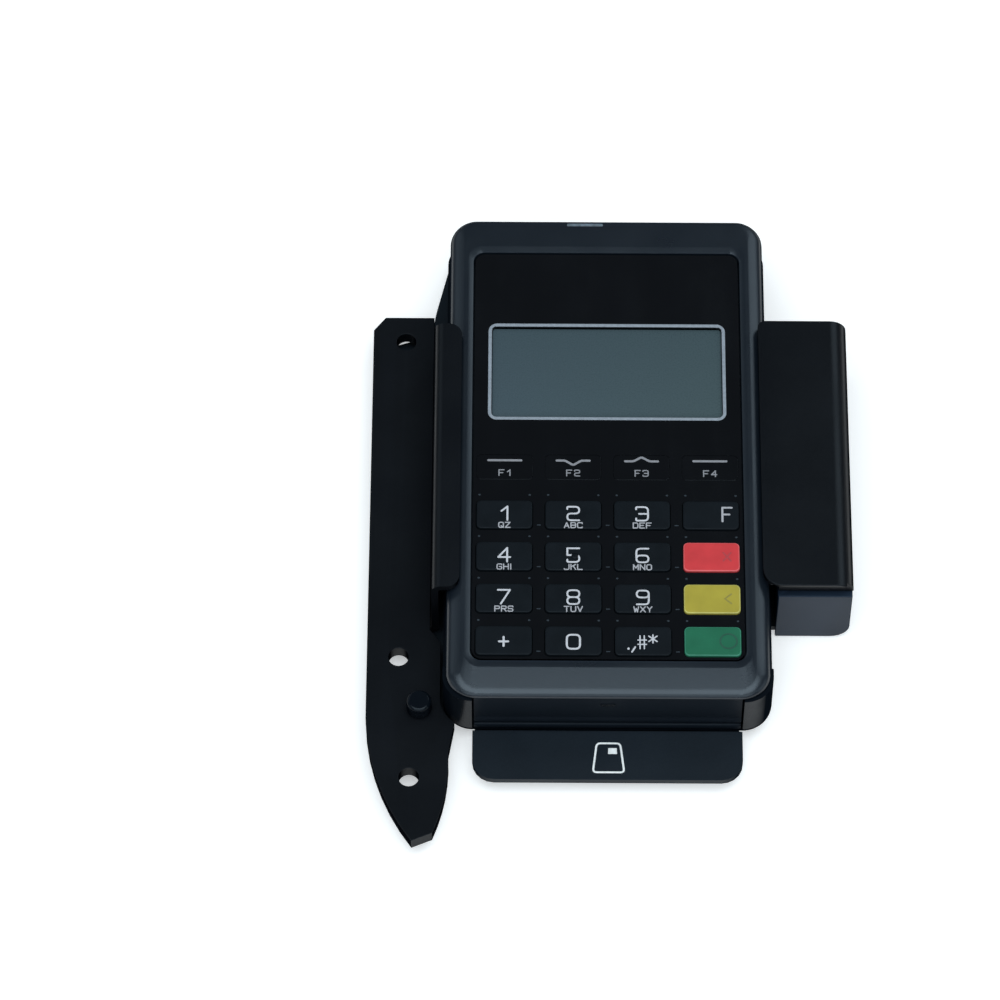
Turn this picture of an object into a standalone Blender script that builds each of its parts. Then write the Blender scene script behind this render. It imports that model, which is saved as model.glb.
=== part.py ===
"""A pocket card payment terminal held in a sheet-metal cradle.

Metres, +Z up. The set lies on its back: the terminal's face looks up, its keypad is towards -Y and
its display towards +Y. The origin is on the cradle's rear face, under the middle of the terminal.
"""

import math

import bmesh
import bpy

MM = 0.001
GAP = 0.3 * MM  # clearance between two pieces that touch

# Heights above the cradle's rear face
SHEET = 1.5 * MM
TERMINAL_DEPTH = 17.0 * MM
BACK_Z = SHEET + GAP
FACE_Z = BACK_Z + TERMINAL_DEPTH
LIP_Z = FACE_Z + GAP
FRONT_Z = LIP_Z + SHEET
PARTING_Z = 10.3 * MM
FLOOR_Z = BACK_Z + 1.6 * MM
LEDGE_Z = 16.7 * MM
CEILING_Z = 15.5 * MM
TONGUE_Z = 5.3 * MM

# Terminal shells
BEZEL_WIDTH = 66.4 * MM
SHELL_WIDTH = 67.5 * MM
BEZEL_LOWER_END = -57.2 * MM
BEZEL_UPPER_END = 58.4 * MM
SHELL_LENGTH = 115.2 * MM
WALL = 1.6 * MM
LOWER_CORNER = 6.0 * MM
UPPER_CORNER = 5.0 * MM
BACK_ROUNDING = 3.5 * MM
MOUTH_WIDTH = 55.4 * MM
MOUTH_DEPTH = 7.9 * MM

# Front panel and display
PANEL_WIDTH = 55.6 * MM
PANEL_BOTTOM = -48.9 * MM
PANEL_TOP = 49.8 * MM
PANEL_THICKNESS = 1.5 * MM
PANEL_Z = FACE_Z - 0.3 * MM
PANEL_CORNER = 2.0 * MM
DISPLAY_WIDTH = 49.9 * MM
DISPLAY_BOTTOM = 8.4 * MM
DISPLAY_TOP = 32.3 * MM
TRIM_LINE = 0.75 * MM

# Keys
KEY_WIDTH = 11.6 * MM
KEY_HEIGHT = 6.8 * MM
COLUMN_PITCH = 14.22 * MM
ROW_PITCH = 9.97 * MM
FIRST_ROW = -14.9 * MM
FUNCTION_ROW = -3.2 * MM
FUNCTION_HEIGHT = 6.0 * MM
KEY_FLANGE = 0.3 * MM
KEY_FLANGE_THICKNESS = 1.3 * MM
KEY_TOP = FACE_Z + 0.2 * MM
FUNCTION_KEY_TOP = PANEL_Z  # the soft keys under the display lie flush
KEY_BOTTOM = 15.3 * MM
KEY_TRAVEL = 0.8 * MM
KEY_ROWS = (
    ("key_1", "key_2", "key_3", "key_function"),
    ("key_4", "key_5", "key_6", "key_cancel"),
    ("key_7", "key_8", "key_9", "key_clear"),
    ("key_plus", "key_0", "key_symbols", "key_enter"),
)

# Inner pieces
MAT_Z = KEY_BOTTOM - KEY_TRAVEL - GAP
MAT_THICKNESS = 1.2 * MM
BOARD_Z = 12.3 * MM
BOARD_THICKNESS = 1.2 * MM
BAY_WIDTH = 50.6 * MM
BAY_BOTTOM = -5.0 * MM
SLOT_Z = (5.4 * MM, 7.2 * MM)
SLOT_WIDTH = 54.6 * MM
SURROUND_FRONT = -56.8 * MM
READER_WIDTH = 56.6 * MM
READER_ENDS = (-48.9 * MM, -7.0 * MM)
LIGHT_LOW = (-8.4 * MM, 56.8 * MM, 16.0 * MM)
LIGHT_HIGH = (-0.7 * MM, 57.6 * MM, 18.6 * MM)
BOSS_RADIUS = 1.9 * MM
TERMINAL_SCREW_RADIUS = 0.8 * MM
TERMINAL_HEAD_RADIUS = 1.5 * MM
TERMINAL_SCREWS = [(x * 30.4 * MM, y) for x in (-1, 1) for y in (-40 * MM, 46 * MM)]

# Cradle
JAW_BOTTOM = -33.2 * MM
JAW_TOP = 30.9 * MM
JAW_FOOT = (-27.0 * MM, 30.0 * MM)
JAW_OUTER = -36.3 * MM
JAW_INNER = -30.5 * MM
JAW_CORNER = 2.8 * MM
PAD_REACH = 26.0 * MM
BLOCK_INNER = 31.8 * MM
BLOCK_OUTER = 50.5 * MM
BLOCK_BOTTOM = -32.5 * MM
BLOCK_TOP = 32.0 * MM
BLOCK_ROUNDING = 3.6 * MM
BLOCK_PARTING_Z = 16.8 * MM
BLOCK_WALL = 1.8 * MM
BLOCK_SIDE = 35.0 * MM
WING_END = 44.0 * MM
WING_OUTER = -46.0 * MM  # end of the left wing and of the jaw's foot
TONGUE_WIDTH = 55.3 * MM
TONGUE_END = -69.6 * MM
TONGUE_CORNER = 4.5 * MM
TONGUE_RISER = -58.3 * MM
RAIL_LOW = 2 * (SHEET + GAP)
RAIL_Z = 6.8 * MM
RAIL_OUTER = -49.5 * MM
RAIL_INNER = -36.6 * MM
RAIL_TOP = 41.2 * MM
RAIL_BOSS = (-38.6 * MM, -54.0 * MM)
RAIL_BOSS_RADIUS = 2.6 * MM
HEAD_RADIUS = 2.2 * MM
SHANK_RADIUS = 1.0 * MM
BACK_SCREWS = [(-41.5 * MM, y) for y in (-22 * MM, 2 * MM, 26 * MM)]
BLOCK_SCREWS = [(39.5 * MM, y) for y in (-24 * MM, 24 * MM)]
MONITOR_HOLES = [(-42.5 * MM, 35 * MM), (-43.0 * MM, -42 * MM), (-40.5 * MM, -70 * MM)]
MONITOR_HOLE_RADIUS = 2.1 * MM

COLOURS = {
    "satin_black": ("2b343c", 0.42, 0.0),
    "gloss_black": ("0b0c0f", 0.08, 0.0),
    "rubber_black": ("14181d", 0.55, 0.0),
    "powder_coat": ("14171b", 0.5, 0.0),
    "cover_grey": ("2e373e", 0.4, 0.0),
    "silver_ink": ("98a6b4", 0.3, 0.6),
    "display_green": ("42525a", 0.2, 0.0),
    "key_red": ("d9484c", 0.45, 0.0),
    "key_yellow": ("b0a548", 0.45, 0.0),
    "key_green": ("2a7d5a", 0.45, 0.0),
    "light_white": ("d5dde2", 0.3, 0.0),
    "board_green": ("1f5a38", 0.5, 0.0),
    "steel": ("9aa0a5", 0.3, 1.0),
    "cell_blue": ("2f4f7a", 0.5, 0.0),
    "grey_plastic": ("5a5f63", 0.5, 0.0),
}


def start_scene():
    """Clears the scene and makes the two collections that everything goes in."""
    for old in list(bpy.data.objects):
        bpy.data.objects.remove(old, do_unlink=True)
    made = []
    for name in ("card_payment_terminal", "cutters"):
        collection = bpy.data.collections.new(name)
        bpy.context.scene.collection.children.link(collection)
        made.append(collection)
    return made


PARTS, CUTTERS = start_scene()


def linear(hex_colour):
    """Linear RGBA of an sRGB hex colour."""
    values = [int(hex_colour[i : i + 2], 16) / 255 for i in (0, 2, 4)]
    return [v / 12.92 if v <= 0.04045 else ((v + 0.055) / 1.055) ** 2.4 for v in values] + [1.0]


def material(key):
    if key in bpy.data.materials:
        return bpy.data.materials[key]
    hex_colour, roughness, metallic = COLOURS[key]
    made = bpy.data.materials.new(key)
    made.use_nodes = True
    shader = made.node_tree.nodes["Principled BSDF"]
    shader.inputs["Base Color"].default_value = linear(hex_colour)
    shader.inputs["Roughness"].default_value = roughness
    shader.inputs["Metallic"].default_value = metallic
    return made


def empty(name, location):
    made = bpy.data.objects.new(name, None)
    made.empty_display_size = 10 * MM
    made.location = location
    PARTS.objects.link(made)
    return made


TERMINAL = empty("terminal_origin", (0, 0, BACK_Z))
CRADLE = empty("cradle_origin", (0, 0, 0))
bpy.context.view_layer.update()


def add(name, mesh, look, location, parent):
    """A part when it has a look, otherwise a cutter."""
    made = bpy.data.objects.new(name, mesh)
    made.location = location
    if look:
        mesh.materials.append(material(look))
        PARTS.objects.link(made)
        made.parent = parent
        made.matrix_parent_inverse = parent.matrix_world.inverted()
    else:
        CUTTERS.objects.link(made)
        made.hide_render = True
        made.display_type = "WIRE"
    return made


def finish_mesh(name, bm, look, location, parent, smooth=False):
    bmesh.ops.recalc_face_normals(bm, faces=bm.faces)
    mesh = bpy.data.meshes.new(name)
    bm.to_mesh(mesh)
    bm.free()
    if smooth:
        mesh.shade_smooth()
        mesh.set_sharp_from_angle(angle=math.radians(35))
    return add(name, mesh, look, location, parent)


def centre_of(low, high):
    return [(a + b) / 2 for a, b in zip(low, high)]


def cube_mesh(low, high):
    """A bmesh cube of the two corners' size, about its own centre."""
    bm = bmesh.new()
    bmesh.ops.create_cube(bm, size=1.0)
    size = [b - a for a, b in zip(low, high)]
    bmesh.ops.scale(bm, vec=size, verts=bm.verts)
    return bm


def bevel_edges(bm, chosen, radius, segments):
    edges = [edge for edge in bm.edges if chosen(edge)]
    bmesh.ops.bevel(
        bm, geom=edges, offset=radius, segments=segments, profile=0.5,
        affect="EDGES", clamp_overlap=True,
    )


def upright(edge):
    a, b = (v.co for v in edge.verts)
    return abs(a.z - b.z) > 0.1 * MM and (a - b).xy.length < 0.01 * MM


def rim(bm, level):
    """Chooses the edges that lie flat at this height."""
    return lambda edge: all(abs(v.co.z - level) < 1e-6 for v in edge.verts)


def round_corners(bm, lower, upper, segments):
    """Rounds the upright edges at -Y by one radius, and those at +Y by another."""
    if lower:
        bevel_edges(bm, lambda e: upright(e) and e.verts[0].co.y < 0, lower, segments)
    if upper:
        bevel_edges(bm, lambda e: upright(e) and e.verts[0].co.y > 0, upper, segments)


def box(name, low, high, look=None, parent=None, corners=(0, 0), top=0, bottom=0, segments=5):
    """A box between two corners, with rounded upright corners and rounded top and bottom rims."""
    bm = cube_mesh(low, high)
    half = (high[2] - low[2]) / 2
    round_corners(bm, *corners, segments)
    if top:
        bevel_edges(bm, rim(bm, half), top, 3)
    if bottom:
        bevel_edges(bm, rim(bm, -half), bottom, 3)
    return finish_mesh(name, bm, look, centre_of(low, high), parent, smooth=bool(look))


def flared_box(name, low, high, grow, corner):
    """A cutter that is wider at its top by grow on every side."""
    bm = cube_mesh(low, high)
    round_corners(bm, corner, corner, 4)
    size = [b - a for a, b in zip(low, high)]
    for vert in bm.verts:
        if vert.co.z > 0:
            vert.co.x *= 1 + 2 * grow / size[0]
            vert.co.y *= 1 + 2 * grow / size[1]
    return finish_mesh(name, bm, None, centre_of(low, high), None)


def rod(name, centre, radius, z_low, z_high, look=None, parent=None, sides=16):
    bm = bmesh.new()
    bmesh.ops.create_cone(
        bm, cap_ends=True, segments=sides, radius1=radius, radius2=radius, depth=z_high - z_low,
    )
    location = (centre[0], centre[1], (z_low + z_high) / 2)
    return finish_mesh(name, bm, look, location, parent, smooth=bool(look))


def change(target, tool, operation):
    """A Boolean of target with tool, which becomes a hidden helper."""
    step = target.modifiers.new(tool.name, "BOOLEAN")
    step.operation = operation
    step.object = tool
    step.solver = "EXACT"


def cut(target, *tools):
    for tool in tools:
        change(target, tool, "DIFFERENCE")


def join(target, *tools):
    for tool in tools:
        change(target, tool, "UNION")


def screw(name, centre, z_head, head_radius, shank_radius, length, look, parent):
    """A countersunk screw whose head is at the bottom, turned about its own axis."""
    slope = head_radius - shank_radius
    profile = [
        (0, length), (shank_radius * 0.6, length), (shank_radius, length - 0.4 * MM),
        (shank_radius, slope + 0.3 * MM), (head_radius, 0.3 * MM), (head_radius, 0), (0, 0),
    ]
    bm = bmesh.new()
    points = [bm.verts.new((x, 0, z)) for x, z in profile]
    for a, b in zip(points, points[1:]):
        bm.edges.new((a, b))
    mesh = bpy.data.meshes.new(name)
    bm.to_mesh(mesh)
    bm.free()
    made = add(name, mesh, look, (centre[0], centre[1], z_head), parent)
    turn = made.modifiers.new("turn", "SCREW")
    turn.steps = turn.render_steps = 12
    turn.use_merge_vertices = True
    turn.merge_threshold = 0.00001
    return made


def countersink(name, centre, z_low, z_high, head_radius, hole_radius):
    """A cutter for a countersunk screw: a cone at the bottom that runs into a plain hole."""
    bm = bmesh.new()
    mouth = head_radius + GAP
    profile = [
        (0, z_high), (hole_radius, z_high), (hole_radius, z_low + mouth - hole_radius + 0.3 * MM),
        (mouth, z_low + 0.3 * MM), (mouth, z_low - MM), (0, z_low - MM),
    ]
    points = [bm.verts.new((x, 0, z)) for x, z in profile]
    edges = [bm.edges.new(pair) for pair in zip(points, points[1:])]
    bmesh.ops.spin(
        bm, geom=points + edges, cent=(0, 0, 0), axis=(0, 0, 1), angle=math.tau, steps=16,
        use_merge=True, use_duplicate=False,
    )
    bmesh.ops.remove_doubles(bm, verts=bm.verts, dist=1e-6)
    return finish_mesh(name, bm, None, (centre[0], centre[1], 0), None)


def key_centres():
    """Every key's name, centre and height: four function keys, then four rows of four."""
    for column in range(4):
        yield f"key_f{column + 1}", ((column - 1.5) * COLUMN_PITCH, FUNCTION_ROW), FUNCTION_HEIGHT
    for row, names in enumerate(KEY_ROWS):
        for column, name in enumerate(names):
            yield name, ((column - 1.5) * COLUMN_PITCH, FIRST_ROW - row * ROW_PITCH), KEY_HEIGHT


def build_front_bezel():
    half_w = BEZEL_WIDTH / 2
    bezel = box(
        "front_bezel", (-half_w, BEZEL_LOWER_END, PARTING_Z + GAP), (half_w, BEZEL_UPPER_END, FACE_Z),
        "satin_black", TERMINAL, (LOWER_CORNER, UPPER_CORNER), top=1.5 * MM, segments=7,
    )
    inner_w = half_w - WALL
    cut(bezel, box(
        "bezel_cavity", (-inner_w, BEZEL_LOWER_END + WALL, 9 * MM),
        (inner_w, BEZEL_UPPER_END - WALL, CEILING_Z),
        corners=(LOWER_CORNER - WALL, UPPER_CORNER - WALL),
    ))
    cut(bezel, box(
        "bezel_lower_notch", (-half_w - MM, BEZEL_LOWER_END - MM, 9 * MM),
        (half_w + MM, MOUTH_DEPTH + GAP - SHELL_LENGTH / 2, LEDGE_Z),
    ))
    pocket_w = PANEL_WIDTH / 2 + GAP
    pocket_low, pocket_high = PANEL_BOTTOM - GAP, PANEL_TOP + GAP
    cut(bezel, box(
        "panel_pocket", (-pocket_w, pocket_low, LEDGE_Z), (pocket_w, pocket_high, FACE_Z + MM),
        corners=(PANEL_CORNER, PANEL_CORNER),
    ))
    cut(bezel, flared_box(
        "panel_chamfer", (-pocket_w, pocket_low, FACE_Z - 0.7 * MM),
        (pocket_w, pocket_high, FACE_Z + 0.3 * MM), 1.0 * MM, PANEL_CORNER,
    ))
    keypad_w = pocket_w - 0.4 * MM
    cut(bezel, box(
        "keypad_opening", (-keypad_w, pocket_low + GAP, 14 * MM), (keypad_w, 2 * MM, 18 * MM),
    ))
    display_w = pocket_w - 2 * MM
    cut(bezel, box(
        "display_opening", (-display_w, MM, 14 * MM), (display_w, pocket_high - 2 * MM, 18 * MM),
    ))
    for i, spot in enumerate(TERMINAL_SCREWS):
        join(bezel, rod(f"bezel_boss_{i}", spot, BOSS_RADIUS, PARTING_Z + 3 * GAP, 16 * MM))
        cut(bezel, rod(f"bezel_bore_{i}", spot, TERMINAL_SCREW_RADIUS + GAP, 8 * MM, 15 * MM))
    edge = 0.2 * MM
    cut(bezel, box(
        "light_window", [v - edge for v in LIGHT_LOW],
        (LIGHT_HIGH[0] + edge, LIGHT_HIGH[1] + edge, FACE_Z + MM),
    ))


def build_rear_shell():
    half_w, half_l = SHELL_WIDTH / 2, SHELL_LENGTH / 2
    shell = box(
        "rear_shell", (-half_w, -half_l, BACK_Z), (half_w, half_l, PARTING_Z), "gloss_black",
        TERMINAL, (LOWER_CORNER, UPPER_CORNER), bottom=BACK_ROUNDING, segments=7,
    )
    join(shell, box(
        "corner_posts", (-half_w, -half_l, PARTING_Z - 4 * MM),
        (half_w, -half_l + MOUTH_DEPTH, LEDGE_Z - GAP), corners=(LOWER_CORNER, 0), segments=7,
    ))
    mouth = MOUTH_WIDTH / 2
    cut(shell, box(
        "mouth_opening", (-mouth, -half_l - MM, FLOOR_Z), (mouth, -half_l + MOUTH_DEPTH + MM, 18 * MM),
    ))
    cut(shell, box(
        "shell_cavity", (-half_w + WALL, -half_l + WALL, FLOOR_Z),
        (half_w - WALL, half_l - WALL, PARTING_Z + MM), corners=(LOWER_CORNER - WALL, UPPER_CORNER - WALL),
    ))
    bay = BAY_WIDTH / 2
    cut(shell, box(
        "battery_bay", (-bay, BAY_BOTTOM, BACK_Z - MM), (bay, half_l + MM, FLOOR_Z + 0.2 * MM),
    ))
    for i, spot in enumerate(TERMINAL_SCREWS):
        join(shell, rod(f"shell_boss_{i}", spot, BOSS_RADIUS, FLOOR_Z - 0.5 * MM, PARTING_Z))
        cut(shell, countersink(
            f"shell_bore_{i}", spot, BACK_Z, 12 * MM, TERMINAL_HEAD_RADIUS, TERMINAL_SCREW_RADIUS + GAP,
        ))


def build_terminal_screws():
    for i, spot in enumerate(TERMINAL_SCREWS):
        screw(
            f"terminal_screw_{i + 1}", spot, BACK_Z + 0.2 * MM, TERMINAL_HEAD_RADIUS,
            TERMINAL_SCREW_RADIUS, 12.4 * MM, "steel", TERMINAL,
        )


def build_front_panel():
    half_w = PANEL_WIDTH / 2
    low_z = PANEL_Z - PANEL_THICKNESS
    panel = box(
        "front_panel", (-half_w, PANEL_BOTTOM, low_z), (half_w, PANEL_TOP, PANEL_Z), "gloss_black",
        TERMINAL, (PANEL_CORNER - GAP, PANEL_CORNER - GAP), segments=4,
    )
    window = DISPLAY_WIDTH / 2 + GAP
    cut(panel, box(
        "display_window", (-window, DISPLAY_BOTTOM - GAP, 16 * MM), (window, DISPLAY_TOP + GAP, 20 * MM),
        corners=(MM, MM), segments=3,
    ))
    for name, (x, y), height in key_centres():
        half_x, half_y = KEY_WIDTH / 2 + GAP, height / 2 + GAP
        cut(panel, box(
            f"{name}_hole", (x - half_x, y - half_y, 16 * MM), (x + half_x, y + half_y, 20 * MM),
            corners=(MM, MM), segments=2,
        ))


def build_display():
    half_w = DISPLAY_WIDTH / 2
    low_z = PANEL_Z - PANEL_THICKNESS
    trim = box(
        "display_trim", (-half_w, DISPLAY_BOTTOM, low_z), (half_w, DISPLAY_TOP, PANEL_Z + 0.05 * MM),
        "silver_ink", TERMINAL, (MM, MM), segments=3,
    )
    inner_w = half_w - TRIM_LINE
    inner_low, inner_high = DISPLAY_BOTTOM + TRIM_LINE, DISPLAY_TOP - TRIM_LINE
    cut(trim, box(
        "trim_window", (-inner_w, inner_low, 16 * MM), (inner_w, inner_high, 20 * MM),
        corners=(0.5 * MM, 0.5 * MM), segments=2,
    ))
    lens_w = inner_w - GAP
    box(
        "display_lens", (-lens_w, inner_low + GAP, low_z), (lens_w, inner_high - GAP, low_z + MM),
        "display_green", TERMINAL,
    )
    box(
        "display_module", (-26 * MM, 5 * MM, BOARD_Z + 0.4 * MM), (26 * MM, 35 * MM, low_z - GAP),
        "grey_plastic", TERMINAL, (MM, MM), segments=2,
    )


def build_key(name, centre, height, top_z, look):
    """A key cap that stands through the panel on a wider flange, which stops it falling out."""
    half_x, half_y = KEY_WIDTH / 2 + KEY_FLANGE, height / 2 + KEY_FLANGE
    flange_top = KEY_BOTTOM + KEY_FLANGE_THICKNESS
    low = (centre[0] - half_x, centre[1] - half_y, KEY_BOTTOM)
    high = (centre[0] + half_x, centre[1] + half_y, flange_top)
    bm = cube_mesh(low, high)
    round_corners(bm, MM, MM, 3)
    top = [face for face in bm.faces if face.normal.z > 0.9]
    bmesh.ops.inset_region(bm, faces=top, thickness=KEY_FLANGE)
    raised = bmesh.ops.extrude_face_region(bm, geom=top)["geom"]
    moved = [item for item in raised if isinstance(item, bmesh.types.BMVert)]
    bmesh.ops.translate(bm, vec=(0, 0, top_z - flange_top), verts=moved)
    bmesh.ops.delete(bm, geom=top, context="FACES")
    level = max(v.co.z for v in bm.verts)
    bevel_edges(bm, rim(bm, level), 0.35 * MM, 2)
    return finish_mesh(name, bm, look, centre_of(low, high), TERMINAL, smooth=True)


def build_keys():
    looks = {"key_cancel": "key_red", "key_clear": "key_yellow", "key_enter": "key_green"}
    for name, centre, height in key_centres():
        top_z = FUNCTION_KEY_TOP if height == FUNCTION_HEIGHT else KEY_TOP
        build_key(name, centre, height, top_z, looks.get(name, "rubber_black"))


def build_inner_pieces():
    box(
        "keypad_mat", (-27.3 * MM, -48.8 * MM, MAT_Z - MAT_THICKNESS), (27.3 * MM, 1.5 * MM, MAT_Z),
        "grey_plastic", TERMINAL,
    )
    box(
        "main_board", (-28 * MM, -46 * MM, BOARD_Z - BOARD_THICKNESS), (28 * MM, 53 * MM, BOARD_Z),
        "board_green", TERMINAL,
    )
    box(
        "battery_pack", (-23 * MM, -3 * MM, FLOOR_Z + 0.4 * MM), (23 * MM, 52 * MM, 10.6 * MM),
        "cell_blue", TERMINAL, (1.5 * MM, 1.5 * MM), segments=3,
    )
    box(
        "status_light", LIGHT_LOW, LIGHT_HIGH, "light_white", TERMINAL,
    )
    box(
        "radio_module", (-6 * MM, 38 * MM, BOARD_Z + 0.4 * MM), (8 * MM, 50 * MM, 14.4 * MM),
        "steel", TERMINAL,
    )
    rod("buzzer", (18 * MM, 43 * MM), 4.5 * MM, BOARD_Z + 0.4 * MM, 15 * MM, "rubber_black", TERMINAL)
    rod("backup_cell", (-18 * MM, 43 * MM), 5 * MM, BOARD_Z + 0.4 * MM, 14.6 * MM, "steel", TERMINAL)


def build_card_reader():
    """The chip-card reader and, in front of it, the surround with its flared slot mouth."""
    reader = box(
        "chip_card_reader", (-READER_WIDTH / 2, READER_ENDS[0], FLOOR_Z + 0.4 * MM),
        (READER_WIDTH / 2, READER_ENDS[1], 10.6 * MM), "grey_plastic", TERMINAL,
    )
    half = SLOT_WIDTH / 2
    cut(reader, box("reader_slot", (-half, -60 * MM, SLOT_Z[0]), (half, -10 * MM, SLOT_Z[1])))
    edge = MOUTH_WIDTH / 2 - GAP
    surround = box(
        "slot_surround", (-edge, SURROUND_FRONT, FLOOR_Z + GAP),
        (edge, MOUTH_DEPTH - SHELL_LENGTH / 2, LEDGE_Z - GAP),
        "rubber_black", TERMINAL,
    )
    cut(surround, box("surround_slot", (-half, -60 * MM, SLOT_Z[0]), (half, -40 * MM, SLOT_Z[1])))


def build_battery_door():
    """The door slides out past the terminal's upper end, so its end follows the shell's rounding."""
    low = (-BAY_WIDTH / 2 + GAP, BAY_BOTTOM + GAP, BACK_Z)
    high = (BAY_WIDTH / 2 - GAP, SHELL_LENGTH / 2 - 2.2 * MM, BACK_Z + 1.4 * MM)
    bm = cube_mesh(low, high)
    bevel_edges(bm, lambda e: all(v.co.y > 0 and v.co.z < 0 for v in e.verts), 1.2 * MM, 3)
    finish_mesh("battery_door", bm, "satin_black", centre_of(low, high), TERMINAL, smooth=True)


def arc(centre, radius, start, end, steps):
    """Points on an arc, with its angles in degrees."""
    angles = [math.radians(start + (end - start) * i / steps) for i in range(steps + 1)]
    return [(centre[0] + radius * math.cos(a), centre[1] + radius * math.sin(a)) for a in angles]


def arc_through(first, middle, last, steps):
    """Points along the circle through three points."""
    (ax, ay), (bx, by), (cx, cy) = first, middle, last
    d = 2 * (ax * (by - cy) + bx * (cy - ay) + cx * (ay - by))
    a2, b2, c2 = ax * ax + ay * ay, bx * bx + by * by, cx * cx + cy * cy
    ox = (a2 * (by - cy) + b2 * (cy - ay) + c2 * (ay - by)) / d
    oy = (a2 * (cx - bx) + b2 * (ax - cx) + c2 * (bx - ax)) / d
    radius = math.hypot(ax - ox, ay - oy)
    start = math.atan2(ay - oy, ax - ox)
    turn = math.remainder(math.atan2(cy - oy, cx - ox) - start, math.tau)
    angles = [start + turn * i / steps for i in range(steps + 1)]
    return [(ox + radius * math.cos(a), oy + radius * math.sin(a)) for a in angles]


def flat_outline(name, corners, z_low, z_high, look, parent, rounding=0):
    """A plate of this outline: a filled 2D curve, turned into a mesh so that it can be cut."""
    curve = bpy.data.curves.new(name, "CURVE")
    curve.dimensions = "2D"
    curve.fill_mode = "BOTH"
    curve.extrude = (z_high - z_low) / 2
    spline = curve.splines.new("POLY")
    spline.points.add(len(corners) - 1)
    for point, (x, y) in zip(spline.points, corners):
        point.co = (x, y, 0, 1)
    spline.use_cyclic_u = True
    guide = bpy.data.objects.new(name + "_outline", curve)
    PARTS.objects.link(guide)
    bpy.context.view_layer.update()
    graph = bpy.context.evaluated_depsgraph_get()
    mesh = bpy.data.meshes.new_from_object(guide.evaluated_get(graph))
    bpy.data.objects.remove(guide, do_unlink=True)
    bpy.data.curves.remove(curve)
    bm = bmesh.new()
    bm.from_mesh(mesh)
    bpy.data.meshes.remove(mesh)
    bmesh.ops.remove_doubles(bm, verts=bm.verts, dist=1e-6)
    bmesh.ops.dissolve_limit(bm, angle_limit=0.001, verts=bm.verts, edges=bm.edges)
    if rounding:
        bevel_edges(bm, upright, rounding, 3)
    return finish_mesh(name, bm, look, (0, 0, (z_low + z_high) / 2), parent, smooth=bool(look))


def build_cradle_back():
    """One bent sheet: the back, a wing on each side, and the tongue that guides a card into its slot."""
    outline = [
        (-27.2 * MM, TONGUE_RISER - SHEET), (27.2 * MM, TONGUE_RISER - SHEET), (27.2 * MM, -38.5 * MM),
        (32 * MM, -31.3 * MM), (WING_END, -31.3 * MM), (WING_END, 30.1 * MM), (32 * MM, 30.1 * MM),
        (31 * MM, 60 * MM), (-33 * MM, 60 * MM), (-36.5 * MM, 45 * MM), (-37 * MM, 40 * MM),
        (WING_OUTER, 37 * MM), (WING_OUTER, -30 * MM), (-38 * MM, -35 * MM), (-38 * MM, -50.5 * MM),
        (-35.5 * MM, -52.8 * MM), (-30.3 * MM, -53.2 * MM), (-27.2 * MM, -53.2 * MM),
    ]
    back = flat_outline("cradle_back", outline, 0, SHEET, "powder_coat", CRADLE, 1.5 * MM)
    half = TONGUE_WIDTH / 2
    join(back, box(
        "tongue_riser", (-half + GAP, TONGUE_RISER - SHEET, 0.4 * MM),
        (half - GAP, TONGUE_RISER - 0.02 * MM, TONGUE_Z - 0.4 * MM),
    ))
    join(back, box(
        "tongue_sheet", (-half, TONGUE_END, TONGUE_Z - SHEET), (half, TONGUE_RISER, TONGUE_Z),
        corners=(TONGUE_CORNER, 0),
    ))
    for i, spot in enumerate(BACK_SCREWS + BLOCK_SCREWS):
        cut(back, countersink(f"back_bore_{i}", spot, 0, 4 * MM, HEAD_RADIUS, SHANK_RADIUS + GAP))


def build_left_jaw():
    """The bent clip round the terminal's left edge: a foot, a wall and a lip over the bezel."""
    foot_z = SHEET + GAP
    jaw = box(
        "left_jaw", (JAW_OUTER, JAW_BOTTOM, foot_z), (JAW_OUTER + SHEET, JAW_TOP, FRONT_Z - SHEET / 2),
        "powder_coat", CRADLE,
    )
    join(jaw, box(
        "jaw_lip", (JAW_OUTER, JAW_BOTTOM, LIP_Z), (JAW_INNER, JAW_TOP, FRONT_Z),
        corners=(JAW_CORNER, JAW_CORNER), top=0.4 * MM, segments=6,
    ))
    join(jaw, box(
        "jaw_foot", (WING_OUTER, JAW_FOOT[0], foot_z), (JAW_OUTER + SHEET / 2, JAW_FOOT[1], foot_z + SHEET),
    ))
    for i, spot in enumerate(BACK_SCREWS):
        cut(jaw, rod(f"jaw_bore_{i}", spot, SHANK_RADIUS + GAP, 0, 5 * MM))
    box(
        "jaw_pad", (JAW_OUTER + SHEET + GAP, -PAD_REACH, 6 * MM),
        (JAW_OUTER + SHEET + 2 * GAP + 0.1 * MM, PAD_REACH, 15 * MM), "rubber_black", CRADLE,
    )


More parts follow.
